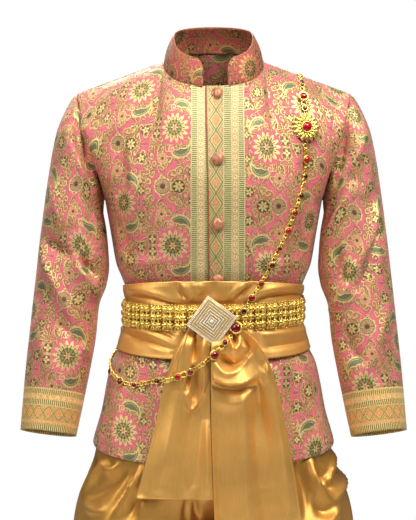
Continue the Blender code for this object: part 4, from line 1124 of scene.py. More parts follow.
def scrolls(tree, place, under, size, pitch, fill, thread):
    """Curled tendrils, one in each cell of an uneven net, about half of them on a fill."""
    net = add(tree, "TexVoronoi", place, None, 1 / size, voronoi_dimensions="2D")
    far, angle = polar(tree, place, net["Position"])
    chance = add(tree, "SeparateColor", net["Color"])
    hand = add(tree, "Math SIGN", add(tree, "Math SUBTRACT", chance[0], 0.5))
    turn = add(tree, "Math MULTIPLY", angle, hand)
    phase = add(tree, "Math MULTIPLY_ADD", far, 2 * math.pi / pitch, turn)
    wave = add(tree, "Math SINE", phase)
    here = inside(tree, far, size * 0.50)
    return layered(
        tree,
        under,
        (fill, inside(tree, chance[1], 0.5, 0.1), inside(tree, far, size * 0.44)),
        (OLIVE, here, between(tree, wave, -0.75, -0.15, 0.5)),
        (thread, here, inside(tree, 0.16, wave, 0.5)),
    )


def vines(tree, place, under, size, thread):
    """Fine stems between the cells of an uneven net, with a shadow beside them."""
    net = add(tree, "TexVoronoi", place, None, 1 / size, voronoi_dimensions="2D",
              feature="DISTANCE_TO_EDGE")
    shadow = OLIVE, between(tree, net, 0.06, 0.16, 0.08)
    return layered(tree, under, shadow, (thread, inside(tree, net, 0.070, 0.05)))


def rosette(tree, place, under, silk):
    """Long pale petals round an olive ring of short ones, with a star at the middle."""
    far, angle = polar(tree, place, (0, 0, 0))
    spokes = add(tree, "Math COSINE", add(tree, "Math MULTIPLY", angle, 14))
    return layered(
        tree,
        under,
        (silk, inside(tree, far, ROSETTE + 4, 4.0)),
        (CREAM, petals(tree, far, angle, 14, 12.5, ROSETTE + 1, 0.75)),
        (OLIVE, between(tree, far, 13.5, 18.5), inside(tree, 0.72, spokes, 0.3)),
        ("#5C6B3C", inside(tree, far, 13.4)),
        ("#B59A60", petals(tree, far, angle, 12, 6.0, 13.5, 0.9), inside(tree, 6.4, far)),
        (BROWN, inside(tree, far, 7.2)),
        (CREAM, petals(tree, far, angle, 6, 2.6, 7.0, 1.4)),
        (CORAL, inside(tree, far, 2.2)),
    )


def crescent(tree, place, under, silk):
    """A curled leaf below the rosette and its mirror image above it."""
    far, angle = polar(tree, place, (-12, 32, 0))
    lean = add(tree, "Math COSINE", add(tree, "Math SUBTRACT", angle, 1.75))
    reach = add(tree, "Math ADD", far, add(tree, "Math MULTIPLY_ADD", lean, 13.0, 4.0))
    core = inside(tree, far, 16.8), inside(tree, 20.8, reach)
    from_curl, angle = polar(tree, place, (3, 36, 0))
    turn = add(tree, "Math MULTIPLY_ADD", from_curl, 2 * math.pi / 4.6, angle)
    near = inside(tree, from_curl, 6.6)
    return layered(
        tree,
        under,
        (CREAM, inside(tree, far, 19.5), inside(tree, 17.6, reach)),
        (LEAF, *core),
        ("#C9B878", *core, between(tree, far, 13.6, 15.0)),
        (silk, near),
        (CREAM, near, inside(tree, 0.0, add(tree, "Math SINE", turn), 0.5)),
    )


def fan(tree, place, under, centre, size, count, fill):
    """A round head of fine rays with a pale, scalloped rim."""
    far, angle = polar(tree, place, centre)
    wave = add(tree, "Math SINE", add(tree, "Math MULTIPLY", angle, count))
    return layered(
        tree,
        under,
        (CREAM, petals(tree, far, angle, count / 2, size * 0.94, size * 1.12)),
        (fill, inside(tree, far, size * 0.90)),
        (CREAM, between(tree, far, size * 0.34, size * 0.82), inside(tree, 0.1, wave, 0.6)),
        (OLIVE, inside(tree, far, size * 0.26)),
    )


def small_flower(tree, place, under, centre, size, count):
    """A pale flower on an olive round, with a coral eye."""
    far, angle = polar(tree, place, centre)
    return layered(
        tree,
        under,
        (OLIVE, inside(tree, far, size * 1.15)),
        (CREAM, petals(tree, far, angle, count, size * 0.35, size)),
        (CORAL, inside(tree, far, size * 0.28)),
    )


SMALL_FLOWERS = named_rows(
    "centre size count",
    ((-10, 97.5, 0), 9.0, 7),
    ((-33, 74, 0), 6.5, 5),
    ((35, 10, 0), 6.5, 4),
    ((-36, 20, 0), 5.5, 4),
)


def brocade_field(tree, weave, cloth):
    """The cloth's figures, from the ground up: stems, tendrils, heads, leaves, rosettes."""
    silk, thread = tuple(cloth.silk_colour), tuple(cloth.thread_colour)
    place = lattice(tree, weave)
    bend = add(tree, "TexNoise", place, None, 0.06, 1.0, noise_dimensions="2D")[1]
    bend = add(tree, "VectorMath SUBTRACT", bend, (0.5, 0.5, 0.5))
    bent = add(tree, "VectorMath MULTIPLY_ADD", bend, (12.0, 12.0, 0.0), place)
    patch = add(tree, "TexNoise", place, None, 0.026, 1.0, noise_dimensions="2D")
    colour = layered(tree, silk, (CORAL, inside(tree, 0.60, patch, 0.08)))
    stems = vines(tree, bent, colour, 11.0, thread)
    colour = layered(tree, colour, (stems, inside(tree, 0.47, patch, 0.04)))
    colour = scrolls(tree, bent, colour, 14.5, 5.4, "#E2836C", thread)
    colour = fan(tree, place, colour, (19, 52, 0), 8.5, 18, "#D67A62")
    colour = fan(tree, place, colour, (17, 97.5, 0), 14.0, 22, "#9C5A50")
    for flower in SMALL_FLOWERS:
        colour = small_flower(tree, place, colour, *flower)
    colour = crescent(tree, place, colour, silk)
    return rosette(tree, place, colour, silk)


# The border's bands, in millimetres across from its edge
LADDER_PITCH, BUD_PITCH = 3.4, 11.0
LINES = named_rows(
    "low high colour",
    (24, 25.8, "#DECB8C"),
    (37.6, 39.2, "#DECB8C"),
    (48.8, 50.2, "#DECB8C"),
    (58.5, 60.5, "#DECB8C"),
)
# And its chain's, in shares of a lozenge out from its middle
LOZENGES = named_rows(
    "low high colour",
    (0.92, 1.06, "#5F6A3C"),
    (0.46, 0.56, "#B08A50"),
    (0.0, 0.34, "#DE9E6C"),
    (1.30, 1.42, "#8C8A50"),
    (1.72, 2.2, "#DB8A60"),
)


def banded(tree, distance, bands, soft=0.9):
    """Layers of the bands' colours where the distance lies in them."""
    return [(colour, between(tree, distance, low, high, soft)) for low, high, colour in bands]


def brocade_border(tree, border, pitch):
    """Bands beside an edge: a chain of lozenges, then floral and ladder bands."""
    along, across, _ = add(tree, "SeparateXYZ", border)
    length = add(tree, "Math ABSOLUTE", along)
    rungs = add(tree, "Math MULTIPLY", along, 2 * math.pi / LADDER_PITCH)
    rungs = add(tree, "Math SINE", rungs)
    floral = add(tree, "Math ADD", between(tree, across, 39, 49), between(tree, across, -5, 0.5))
    bud = add(tree, "Math PINGPONG", length, BUD_PITCH / 2)
    aside = add(tree, "Math SUBTRACT", across, 44.0)
    far = add(tree, "VectorMath LENGTH", add(tree, "CombineXYZ", bud, aside, 0.0))[1]
    colour = layered(
        tree,
        "#DDCD8A",
        ("#6C6C40", inside(tree, rungs, -0.15, 0.5)),
        ("#D9B47C", floral),
        ("#E9D79C", inside(tree, far, 3.6), floral),
        (CORAL, inside(tree, far, 1.4), floral),
        *banded(tree, across, LINES),
    )
    near = add(tree, "Math PINGPONG", length, pitch / 2)
    near = add(tree, "Math DIVIDE", near, pitch / 2)
    high = add(tree, "Math ABSOLUTE", add(tree, "Math SUBTRACT", across, 12.5))
    lozenge = add(tree, "Math MULTIPLY_ADD", high, 1 / 11.0, near)
    chain = layered(
        tree,
        "#CCBB7C",
        ("#DCB472", inside(tree, lozenge, 1.02, 0.1)),
        *banded(tree, lozenge, LOZENGES, 0.1),
    )
    colour = layered(tree, colour, (chain, between(tree, across, 0.8, 24.2)))
    return colour, between(tree, across, -22, 60.5)


LOZENGE = 35.0  # millimetres from one to the next down the front, and half at the cuffs


def brocade(name, pitch, cloth, painted_shade=None, painted_light_and_warmth=None):
    """Silk brocade, jacquard woven with gilt thread: the silk ground is dull and soft,
    the figures shine a little and stand up from it by a thread's thickness. Its fourth
    setting is a factor on all of its colour, which darkens it as painted shade, and its fifth
    one on its border's, which brightens and warms it, partly as painted light."""
    soft = {"Sheen Weight": 0.15, "Sheen Roughness": 0.4}
    made, tree, shader = finish(name, tuple(cloth.silk_colour), **soft)
    weave, border = (
        add(tree, "VectorMath SCALE", add(tree, "UVMap", uv_map=layer), None, None, 1000.0)
        for layer in ("weave", "border")
    )
    field = brocade_field(tree, weave, cloth)
    bands, where = brocade_border(tree, border, pitch)
    # the border brightened and warmed: partly painted light, partly more coral
    if painted_light_and_warmth:
        bands = add(tree, "VectorMath MULTIPLY", bands, painted_light_and_warmth)
    colour = layered(tree, field, (bands, where))
    # slubs in the yarn, 2 mm long, lighten and darken the colour
    slub = add(tree, "TexNoise", weave, None, 0.55, 2.0, 0.6, noise_dimensions="2D")
    shade = add(tree, "MapRange", slub, 0.3, 0.7, 0.60, 1.22)
    worn = add(tree, "TexNoise", weave, None, 0.012, 1.0, noise_dimensions="2D")
    worn = add(tree, "MapRange", worn, 0.3, 0.7, 0.92, 1.08)
    shade = add(tree, "Math MULTIPLY", shade, worn)
    colour = add(tree, "VectorMath SCALE", colour, None, None, shade)
    # a darker, redder copy of all the colour: painted shade
    if painted_shade:
        colour = add(tree, "VectorMath MULTIPLY", colour, painted_shade)
    # gilt thread has far more green in it, against its red, than the silk
    red, green, _ = add(tree, "SeparateColor", colour)
    gilt = add(tree, "Math DIVIDE", green, red)
    gilt = add(tree, "MapRange", gilt, 0.32, 0.60, 0.0, 1.0)
    shine = add(tree, "MapRange", where, 0.0, 1.0, 0.52, 0.16)
    # threads lie 0.25 mm apart, too fine to show; these are drawn 1.3 mm apart
    warp, weft = (
        add(tree, "Math SINE", add(tree, "Math MULTIPLY", way, 2 * math.pi / 1.3))
        for way in add(tree, "SeparateXYZ", weave)[:2]
    )
    cross = add(tree, "Math MULTIPLY", add(tree, "Math MULTIPLY", warp, weft), 0.25)
    dressed(
        shader,
        colour,
        add(tree, "Math ADD", gilt, cross),
        0.00022,
        Metallic=add(tree, "Math MULTIPLY", gilt, shine),
        Roughness=add(tree, "MapRange", gilt, 0.0, 1.0, 0.66, 0.46),
    )
    return made


def silk_brocade(cloth):
    """The jacket's, with a wide border beside the fronts' edges."""
    return brocade("silk brocade", LOZENGE, cloth)


def cuff_brocade(cloth):
    """The sleeves', whose border is brighter and warmer, partly as painted light where the cuffs get
    less of the lamps and partly for more coral in it, and whose chain is shorter.
    """
    return brocade("cuff brocade", LOZENGE / 2, cloth, painted_light_and_warmth=(1.35, 1.10, 0.90))


def collar_brocade_painted_shade(cloth):
    """The same brocade, darker and redder all over: painted shade on the collar."""
    return brocade("collar brocade", LOZENGE, cloth, (0.62, 0.42, 0.32))


def speckled(name, codes, scale, depth, detail=2.0, **settings):
    """A finish with specks. codes are its plain, dark and bright colours, and scale is
    how many specks there are in a metre."""
    plain, dark, bright = codes
    made, tree, shader = finish(name, plain, **settings)
    specks = add(tree, "TexNoise", add(tree, "TexCoord")["Object"], None, scale, detail)
    dressed(shader, layered(tree, dark, (bright, specks)), specks, depth)
    return made


def shaded_piping_silk():
    """Orange silk cut on the bias and rolled over a cord: a thin, round, bright edge, its orange
    darkened towards brown as painted shade for the dark line beside it.
    """
    # orange darkened towards brown: painted shade
    codes = "#A85C30", "#743A1E", "#BE7040"
    return speckled("piping silk", codes, 600.0, 0.0003, 1.0, Roughness=0.42)


def satin(name, colour):
    """Polyester satin woven with long floats: a deep lustre that runs along each fold,
    over a soft body colour, with fine ripples where the cloth was pulled. It is partly
    metallic, because the floats mirror the light in the yarn's own colour."""
    made, tree, shader = finish(name, colour, Metallic=0.62, Roughness=0.46)
    place = add(tree, "TexCoord")["Object"]
    soft = add(tree, "TexNoise", place, None, 14.0, 2.0)
    deep = [share * 0.80 for share in colour[:3]] + [1.0]
    tone = layered(tree, deep, (colour, add(tree, "MapRange", soft, 0.35, 0.65, 0.0, 1.0)))
    # the yarns are 0.2 mm apart, too fine to show; their streaks are drawn 1.1 mm wide
    streak = add(tree, "VectorMath MULTIPLY", place, (900.0, 900.0, 25.0))
    yarn = add(tree, "TexNoise", streak, None, 1.0, 1.0)
    shade = add(tree, "MapRange", yarn, 0.3, 0.7, 0.95, 1.05)
    tone = add(tree, "VectorMath SCALE", tone, None, None, shade)
    drawn = add(tree, "VectorMath MULTIPLY", place, (1.0, 1.0, 0.25))
    ripple = add(tree, "TexNoise", drawn, None, 55.0, 2.0, 0.5)
    height = add(tree, "Math MULTIPLY_ADD", yarn, 0.05, ripple)
    rough = add(tree, "MapRange", soft, 0.3, 0.7, 0.50, 0.42)
    dressed(shader, tone, height, 0.0010, Roughness=rough)
    return made


def gold_satin(cloth):
    """The sash's satin, pressed and bright."""
    return satin("gold satin", tuple(cloth.satin_colour))


def deeper_shaded_satin(cloth):
    """The wrapped lower cloth's satin: the same weave, darker and deeper in colour, partly its own
    deeper gold and partly painted shade.
    """
    # darker and deeper: partly painted shade
    red, green, blue = cloth.satin_colour[:3]
    return satin("old gold satin", (0.75 * red, 0.70 * green, 0.56 * blue, 1.0))


def covered_silk(cloth):
    """Plain silk stretched over a button mould: a soft sheen, and pulled threads."""
    bright = tuple(cloth.button_colour)
    made, tree, shader = finish("covered silk", bright, Metallic=0.15, Roughness=0.38)
    pull = add(tree, "TexNoise", add(tree, "TexCoord")["Object"], None, 160.0, 3.0, 0.6)
    deep = [share * 0.55 for share in bright[:3]] + [1.0]
    colour = layered(tree, deep, (bright, add(tree, "MapRange", pull, 0.38, 0.62)))
    dressed(shader, colour, pull, 0.0008)
    return made


def gilt_metal(metal):
    """Brass, cast and gilt: bright yellow and softly mirroring, with fine pits, and each
    bead a little lighter or darker than the next."""
    bright = tuple(metal.gilt_colour)
    made, tree, shader = finish("gilt metal", bright, Metallic=0.9, Roughness=0.28)
    grain = add(tree, "TexNoise", add(tree, "TexCoord")["Object"], None, 420.0, 2.0, 0.6)
    bead = add(tree, "NewGeometry")["Random Per Island"]
    shade = add(tree, "MapRange", bead, 0.0, 1.0, 0.80, 1.12)
    colour = add(tree, "VectorMath SCALE", bright[:3], None, None, shade)
    rough = add(tree, "MapRange", grain, 0.3, 0.7, 0.20, 0.40)
    dressed(shader, colour, grain, 0.0004, Roughness=rough)
    return made


def satin_gilt():
    """The gilt face between the stones, brushed to a pale, soft shine."""
    codes = "#F2BE4E", "#D9A036", "#FFD878"
    return speckled("satin gilt metal", codes, 600.0, 0.0003, Metallic=0.75, Roughness=0.42)


def gap_shade_gilt():
    """The same metal, brown, dark and dull: painted shade in the gaps between the belt's beads."""
    codes = "#B98430", "#8A5A1A", "#DDA94A"
    return speckled("dull gilt metal", codes, 300.0, 0.0005, Metallic=0.7, Roughness=0.45)


def glass(name, dark, bright):
    """Cut or rounded glass set over foil: a glossy face, each stone a little different."""
    made, tree, shader = finish(name, bright, Roughness=0.04, IOR=1.62)
    chance = add(tree, "NewGeometry")["Random Per Island"]
    soft = add(tree, "TexNoise", add(tree, "TexCoord")["Object"], None, 500.0, 1.0)
    share = add(tree, "Math MULTIPLY", add(tree, "Math ADD", chance, soft), 0.5)
    colour = layered(tree, dark, (bright, add(tree, "MapRange", share, 0.3, 0.7)))
    dressed(shader, colour, soft, 0.0002)
    return made


def ruby_glass():
    """The clear red glass of the larger settings."""
    return glass("ruby glass", "#5E0007", "#B8070F")


def garnet_glass():
    """The dark red glass of the small settings."""
    return glass("garnet glass", "#2C0104", "#820911")


def clear_paste():
    """Faceted lead glass over silver foil: white, and hard and bright at its edges."""
    return glass("clear paste stones", "#F0E6C8", "#FFFFFF")


made_finishes = {}


def shared(maker, *settings):
    """The finish that this function makes from its settings, made once."""
    if maker not in made_finishes:
        made_finishes[maker] = maker(*settings)
    return made_finishes[maker]


# ---------------- pieces

# Where a rosette lies on each piece, in metres across and up its weave
LEFT_ROSETTE, RIGHT_ROSETTE, BACK_ROSETTE = (0.091, 0.093), (0.068, 0.126), (0.0, 0.100)
LEFT_SLEEVE_ROSETTE, RIGHT_SLEEVE_ROSETTE = (-0.016, 0.271), (-0.018, 0.127)
COLLAR_ROSETTE = (0.045, 0.020)
PIPING_RADIUS, PIPING_SUNK = 0.0012, 0.0005
TUCKED = 0.10  # the share of the right front at which it is out from beneath the lap


def placket_border(weave, edge):
    """The border's places on a front whose border starts that far past the centre."""
    return np.stack([weave[..., 1], weave[..., 0] + edge], axis=-1)


def no_border(weave):
    """Border places far from any border."""
    return np.stack([weave[..., 0], np.full(weave.shape[:2], 1.0)], axis=-1)


def trimmed(name, cords):
    """The pipings of a piece, each a path and a radius."""
    silk = shared(shaded_piping_silk)
    trim = gathered(name, [(piped(path, radius), silk) for path, radius in cords])
    settle(trim, "brocade")
    return trim


def make_jacket(cloth):
    """The left front with its piped lap, the right front tucked beneath it, the back."""
    silk = shared(silk_brocade, cloth)
    left, weave = front_panel(LAP, FRONT_LEFT_CREASES, cloth.crease_strength)
    uvs = {"weave": weave - LEFT_ROSETTE, "border": placket_border(weave, LAP)}
    piece = shell("left_front", left, BROCADE_WALL, silk, uvs=uvs)
    settle(piece, "brocade", "jacket_front_left")
    edge = left[:, 0] - normals(left)[:, 0] * PIPING_SUNK
    trim = trimmed("lap_piping", [(edge, PIPING_RADIUS)])

    under, weave = front_panel(UNDERLAP, FRONT_RIGHT_CREASES, cloth.crease_strength)
    shares = np.linspace(-UNDERLAP / ARC, 1 - SEAM / 2 / ARC, FRONT_COLUMNS)
    tuck = (BROCADE_WALL + 2 * SEAM) * (1 - ease(shares, COLLAR_ENDS[0] / ARC, TUCKED))
    under = under - normals(under) * tuck[None, :, None]
    border = placket_border(weave, BORDER_UNDERLAP)
    uvs = {"weave": (weave - RIGHT_ROSETTE)[:, ::-1], "border": border[:, ::-1]}
    piece = shell("right_front", mirrored(under), BROCADE_WALL, silk, uvs=uvs)
    settle(piece, "brocade", "jacket_front_right")

    back, weave = back_panel(cloth.crease_strength)
    uvs = {"weave": weave - BACK_ROSETTE, "border": no_border(weave)}
    piece = shell("back", back, BROCADE_WALL, silk, uvs=uvs)
    settle(piece, "brocade", "jacket_back")


def make_sleeves(cloth):
    """The two set-in sleeves, with a border at each cuff."""
    silk = shared(cuff_brocade, cloth)
    for side, table, rosette_at in (
        ("left", SLEEVE_LEFT_CREASES, LEFT_SLEEVE_ROSETTE),
        ("right", SLEEVE_RIGHT_CREASES, RIGHT_SLEEVE_ROSETTE),
    ):
        sheet, weave = sleeve_tube(table, cloth.crease_strength)
        bands = np.interp(weave[..., 1], CUFF_BORDER, FRONT_BORDER, right=1.0)
        border = np.stack([weave[..., 0], bands], axis=-1)
        weave = weave - rosette_at
        if side == "right":
            sheet, weave, border = mirrored(sheet, True), weave[:, ::-1], border[:, ::-1]
        uvs = {"weave": weave, "border": border}
        piece = shell(f"{side}_sleeve", sheet, BROCADE_WALL, silk, tube=True, uvs=uvs)
        settle(piece, "brocade", f"sleeve_{side}")


COLLAR_ROWS = 22
COLLAR_SUNK = 0.0014  # its seam is that far inside the jacket
CORNER_FOOT = 0.42  # the part of its height that the ends have below their round corners
COLLAR_CURVE = 0.18  # how much of the lean its middle holds back
FOOT_PIPING_RADIUS, FOOT_PIPING_PROUD = 0.0011, 0.0004


def make_collar(cloth):
    """A band from one front end round the back to the other, leaning in as it rises."""
    flip = np.array([-1, 1, 1])
    right, left = (np.linspace(end / ARC / NECK_SHARE, 1, 46) for end in COLLAR_ENDS)
    back = np.linspace(0, 1, 52)
    behind = neckline(back[-2::-1], 1), neckline(back[1:-1], 1) * flip
    base = np.concatenate([neckline(left, -1), *behind, neckline(right[::-1], -1) * flip])
    along = travelled(base)
    to_end = np.minimum(along, along[-1] - along)
    corner = 1 - np.clip(to_end / COLLAR_CORNER, 0, 1)
    height = COLLAR_HEIGHT * (CORNER_FOOT + (1 - CORNER_FOOT) * np.sqrt(1 - corner**2))
    inward = -unit(base * np.array([1, 1, 0]))
    rows = []
    for rise in np.linspace(0, 1, COLLAR_ROWS):
        leant = rise - COLLAR_CURVE * math.sin(math.pi * rise)
        lean = COLLAR_LEAN * leant * height / COLLAR_HEIGHT
        row = base + inward * lean[:, None]
        row[:, 2] += SEAM + height * rise - COLLAR_SUNK * (rise == 0)
        rows.append(row)
    sheet = np.array(rows)
    weave = np.stack([np.tile(along, (COLLAR_ROWS, 1)), lengths(sheet, 0, 0)], axis=-1)
    uvs = {"weave": weave - COLLAR_ROSETTE, "border": no_border(weave)}
    # the collar's brocade is darkened all over: painted shade
    piece = shell("stand_collar", sheet, COLLAR_WALL, shared(collar_brocade_painted_shade, cloth), uvs=uvs)
    settle(piece, "brocade", "collar")
    middle = sheet - normals(sheet) * COLLAR_WALL / 2
    edge = np.concatenate([middle[:, 0], middle[-1, 1:-1], middle[::-1, -1]])
    foot = sheet[0] + normals(sheet)[0] * FOOT_PIPING_PROUD
    trim = trimmed("collar_piping", [(edge, PIPING_RADIUS), (foot, FOOT_PIPING_RADIUS)])


BUTTON_RISE, BUTTON_DOME = 0.28, 0.62  # heights of its middle and dome, in its radius
BUTTON_PROUD = 0.0004
NECK_BUTTON_LENGTH = 1.35  # against its width
LOOP_SHIFT, LOOP_WIDE, LOOP_HIGH = (-0.0015, 0.0020), 0.0088, 0.0068  # from that button
LOOP_CORD, LOOP_PROUD = 0.0009, 0.0010


def make_buttons(cloth):
    """Ball buttons with a flat foot, and the loop of the one at the neck."""
    front = tree_of(shown("left_front"))
    silk = shared(covered_silk, cloth)
    tilts = np.linspace(-0.12, 0.5, 10)[:-1] * math.pi
    for number, z in enumerate(BUTTONS_Z, start=1):
        radius = NECK_BUTTON_RADIUS if number == 1 else BUTTON_RADIUS
        place, away = ahead_at(front, BUTTON_X, z)
        body = turned([(math.cos(t), BUTTON_RISE + BUTTON_DOME * math.sin(t)) for t in tilts], 28)
        body[0][-1, 2] = BUTTON_RISE + BUTTON_DOME
        if number == 1:
            body[0][:, 1] *= NECK_BUTTON_LENGTH
        form = placed(body, place + away * BUTTON_PROUD, (1, 0, 0), away, radius)
        piece = gathered(f"covered_button_{number}", [(form, silk)])
        settle(piece, "covered_button", f"button_{number}")
    path = []
    for turn in np.linspace(-0.35, 1.35, 26) * math.pi:
        x = BUTTON_X + LOOP_SHIFT[0] + LOOP_WIDE * math.cos(turn)
        z = BUTTONS_Z[0] + LOOP_SHIFT[1] + LOOP_HIGH * math.sin(turn)
        path.append(ahead_at(front, x, z)[0] - (0, LOOP_PROUD, 0))
    settle(gathered("neck_loop", [(piped(path, LOOP_CORD), silk)]), "covered_button")


KRABEN_ROWS, KRABEN_COLUMNS = 150, 118
KRABEN_EDGE = 0.0006  # the share of its way round that each half stops short of a seam
SEAM_LAP, SEAM_SUNK = 0.0035, 0.0022  # how far the right half goes in behind the left one
SEAM_SHARE = 0.012  # the share of its way round over which it does so


def make_kraben(cloth):
    """The two draped halves of the wrapped lower cloth."""
    heights = np.linspace(KRABEN_LEG[0].z, KRABEN_OUT[-1].z, KRABEN_ROWS)
    shares = np.linspace(KRABEN_EDGE, 1 - KRABEN_EDGE, KRABEN_COLUMNS)
    share, z = np.meshgrid(shares, heights)
    sheet = kraben(share, z)
    sheet[..., 0] = np.maximum(sheet[..., 0], SEAM)
    for side, table in (("left", KRABEN_LEFT_CREASES), ("right", KRABEN_RIGHT_CREASES)):
        table = table + LOWER_CREASES
        made = creased(sheet, table, cloth.drape_strength, sides=0.04, top=(0.60, 0.69))
        if side == "right":  # its seams tuck in behind the left half's, as far as the crotch
            seam = np.exp(-((np.minimum(share, 1 - share) / SEAM_SHARE) ** 2))
            seam *= ease(z, -0.80, -0.76)
            sunk = np.where(share < 0.5, SEAM_SUNK, -SEAM_SUNK)
            made = mirrored(made + point(-SEAM_LAP * seam, sunk * seam, 0))
        # its satin is darkened, partly as painted shade
        piece = shell(f"{side}_kraben", made, SATIN_WALL, shared(deeper_shaded_satin, cloth))
        settle(piece, "satin", f"kraben_{side}")


SASH_ROWS, SASH_COLUMNS = 54, 260
SASH_PUFF = 0.0022  # how far it swells above and below the belt


def make_sash(cloth):
    """The turn of the sash round the waist, pressed flat beneath the belt."""
    turns = 2 * math.pi * np.arange(SASH_COLUMNS) / SASH_COLUMNS
    turn, rise = np.meshgrid(turns, np.linspace(0, 1, SASH_ROWS))
    sheet = on_body(turn, sash_height(turn, rise), sash_out(turn, rise))
    made = creased(sheet, SASH_CREASES, cloth.drape_strength, True, top=(1.0, 1.1))
    clear = np.abs(sheet[..., 2] - belt_middle(turn)) - BELT_HEIGHT / 2
    puff = SASH_PUFF * ease(clear, 0, 0.008) * (1 - ease(rise, 0.93, 1.0)) * ease(rise, 0, 0.10)
    made = made + normals(made, True) * puff[..., None]
    sheet = sheet + (made - sheet) * ease(clear, -0.001, 0.004)[..., None]
    piece = shell("wound_sash", sheet, SATIN_WALL, shared(gold_satin, cloth), tube=True)
    settle(piece, "satin", "sash_wrap")


TAIL_COLUMNS = 92
PLEATS, PLEAT_DEPTH = 2.5, 0.0012
TAIL_CLEAR = 0.0009  # between a tail and what it hangs on
TAIL_ROOM = 0.0055  # behind a hanging tail, for its troughs


def hanging_tail(table, rows, folds, strength):
    """A tail's sheet. It hangs straight from whatever it lies on, is pleated at its top
    and flat at its hem."""
    across, up = np.meshgrid(np.linspace(0, 1, TAIL_COLUMNS), np.linspace(0, 1, rows))
    z = table[0].z + (table[-1].z - table[0].z) * up
    left, right = read(table, "left", z), read(table, "right", z)
    x = left + (right - left) * across
    under = tree_of(shown("left_front", "right_front", "wound_sash", "left_kraben", "right_kraben"))
    below = [nearest_depth(under, *place, 0.1) for place in zip(x.ravel(), z.ravel())]
    most = np.maximum.accumulate(np.reshape(below, x.shape)[::-1], axis=0)[::-1]
    hung = np.array([settled(row, 3) for row in most]) + SATIN_WALL + TAIL_CLEAR
    wave = PLEAT_DEPTH * ease(up, 0.45, 0.80) * (1 - ease(up, 0.90, 0.97))
    free = hung + TAIL_ROOM * (1 - ease(up, 0.85, 0.95))
    proud = (read(table, "depth", z) - free) / TAIL_ROOM
    swell = free + TAIL_ROOM * np.logaddexp(0, proud) + wave * np.cos(2 * math.pi * PLEATS * across)
    swell = creased(point(x, -swell, z), folds, strength, sides=0.06, top=(0.97, 1.0))
    return point(swell[..., 0], -np.maximum(hung, -swell[..., 1]), swell[..., 2])


def make_tails(cloth):
    """The sash's two hanging ends, gathered at the belt."""
    for side, table, rows, folds, cut in (
        ("right", TAIL_RIGHT, 120, TAIL_RIGHT_CREASES, (0.121, 0.287)),
        ("left", TAIL_LEFT, 170, TAIL_LEFT_CREASES, (0.160, 0.452)),
    ):
        sheet = hanging_tail(table, rows, folds, cloth.drape_strength)
        piece = shell(f"{side}_tail", sheet, SATIN_WALL, shared(gold_satin, cloth))
        settle(piece, "satin", f"sash_tail_{side}")


def belt_back(solid, columns=200):
    """The plain band behind the belt's links, just within their solid: its points and
    faces."""
    turns = 2 * math.pi * np.arange(columns) / columns
    bases, outs = on_body(turns, belt_middle(turns)), on_body(turns, belt_middle(turns), 0.1)
    places = np.array([met(solid, out, base - out)[0] for base, out in zip(bases, outs)])
    reach = -settled(-np.linalg.norm(places - bases, axis=1), 3)
    rings = []
    for off, rise in ((-0.0026, -0.5), (-0.0014, -0.5), (-0.0014, 0.5), (-0.0026, 0.5)):
        line = bases + unit(outs - bases) * (reach + off)[:, None]
        rings.append(line + np.array([0, 0, BELT_BACK * rise]))
    faces = []
    for c in range(columns):
        n = (c + 1) % columns
        for r in range(4):
            low, high = r * columns, (r + 1) % 4 * columns
            faces.append((low + c, low + n, high + n, high + c))
    return np.concatenate(rings), faces


DOMES = named_rows(  # one above the other on the belt
    "height radius",
    (-0.0128, 0.0041),
    (0.0, 0.0046),
    (0.0128, 0.0041),
)
GRAINS, GRAINS_WIDE, GRAINS_HIGH, GRAINS_SUNK = 6, 0.0044, 0.0050, 0.0012  # round a dome
EYE_RADIUS, EYE_SHIFT, EYE_HEIGHT, EYE_SUNK = 0.0019, 0.0027, 0.0195, 0.0010
LINK_INSET = 0.07  # the two columns of a link stand this share of one nearer each other


def make_belt(metal):
    """Links of domes, grains and eyes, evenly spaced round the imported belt."""
    gilt, dull = shared(gilt_metal, metal), shared(gap_shade_gilt)
    solid = tree_of(shown("belt"))
    turns = np.linspace(0, 2 * math.pi, 1441)
    along = travelled(on_body(turns, belt_middle(turns)))
    grain, dome_form, eye = ball(7, 4), ball(10, 5, 0.6), ring(1.0, 0.34, 10, 5)
    # the band behind the links is dark brown: painted shade in the gaps between them
    parts = [(belt_back(solid), dull)]
    columns = 2 * BELT_LINKS
    for column in range(columns):
        inset = LINK_INSET if column % 2 == 0 else -LINK_INSET
        turn = np.interp((column + 0.5 + inset) / columns * along[-1], along, turns)
        base, out = (on_body(turn, float(belt_middle(turn)), off) for off in (0.0, 0.1))
        place = np.array(met(solid, out, base - out)[0])
        away = unit(np.array([*(out - base)[:2], 0]))
        side, up = np.cross((0, 0, 1), away), np.array([0, 0, 1])
        for dome in DOMES:
            centre = place + up * dome.height
            parts.append((placed(dome_form, centre, side, away, dome.radius), gilt))
            for k in range(GRAINS):
                spin = 2 * math.pi * (k + 0.5 * (column % 2)) / GRAINS
                spot = side * math.cos(spin) * GRAINS_WIDE + up * math.sin(spin) * GRAINS_HIGH
                spot = centre - away * GRAINS_SUNK + spot
                parts.append((placed(grain, spot, side, away, metal.grain_radius), gilt))
        for height in (-EYE_HEIGHT, EYE_HEIGHT):
            for shift in (-EYE_SHIFT, EYE_SHIFT):
                spot = place + up * height - away * EYE_SUNK + side * shift
                parts.append((placed(eye, spot, side, away, EYE_RADIUS), gilt))
    settle(gathered("belt_links", parts), "gilt", "belt")


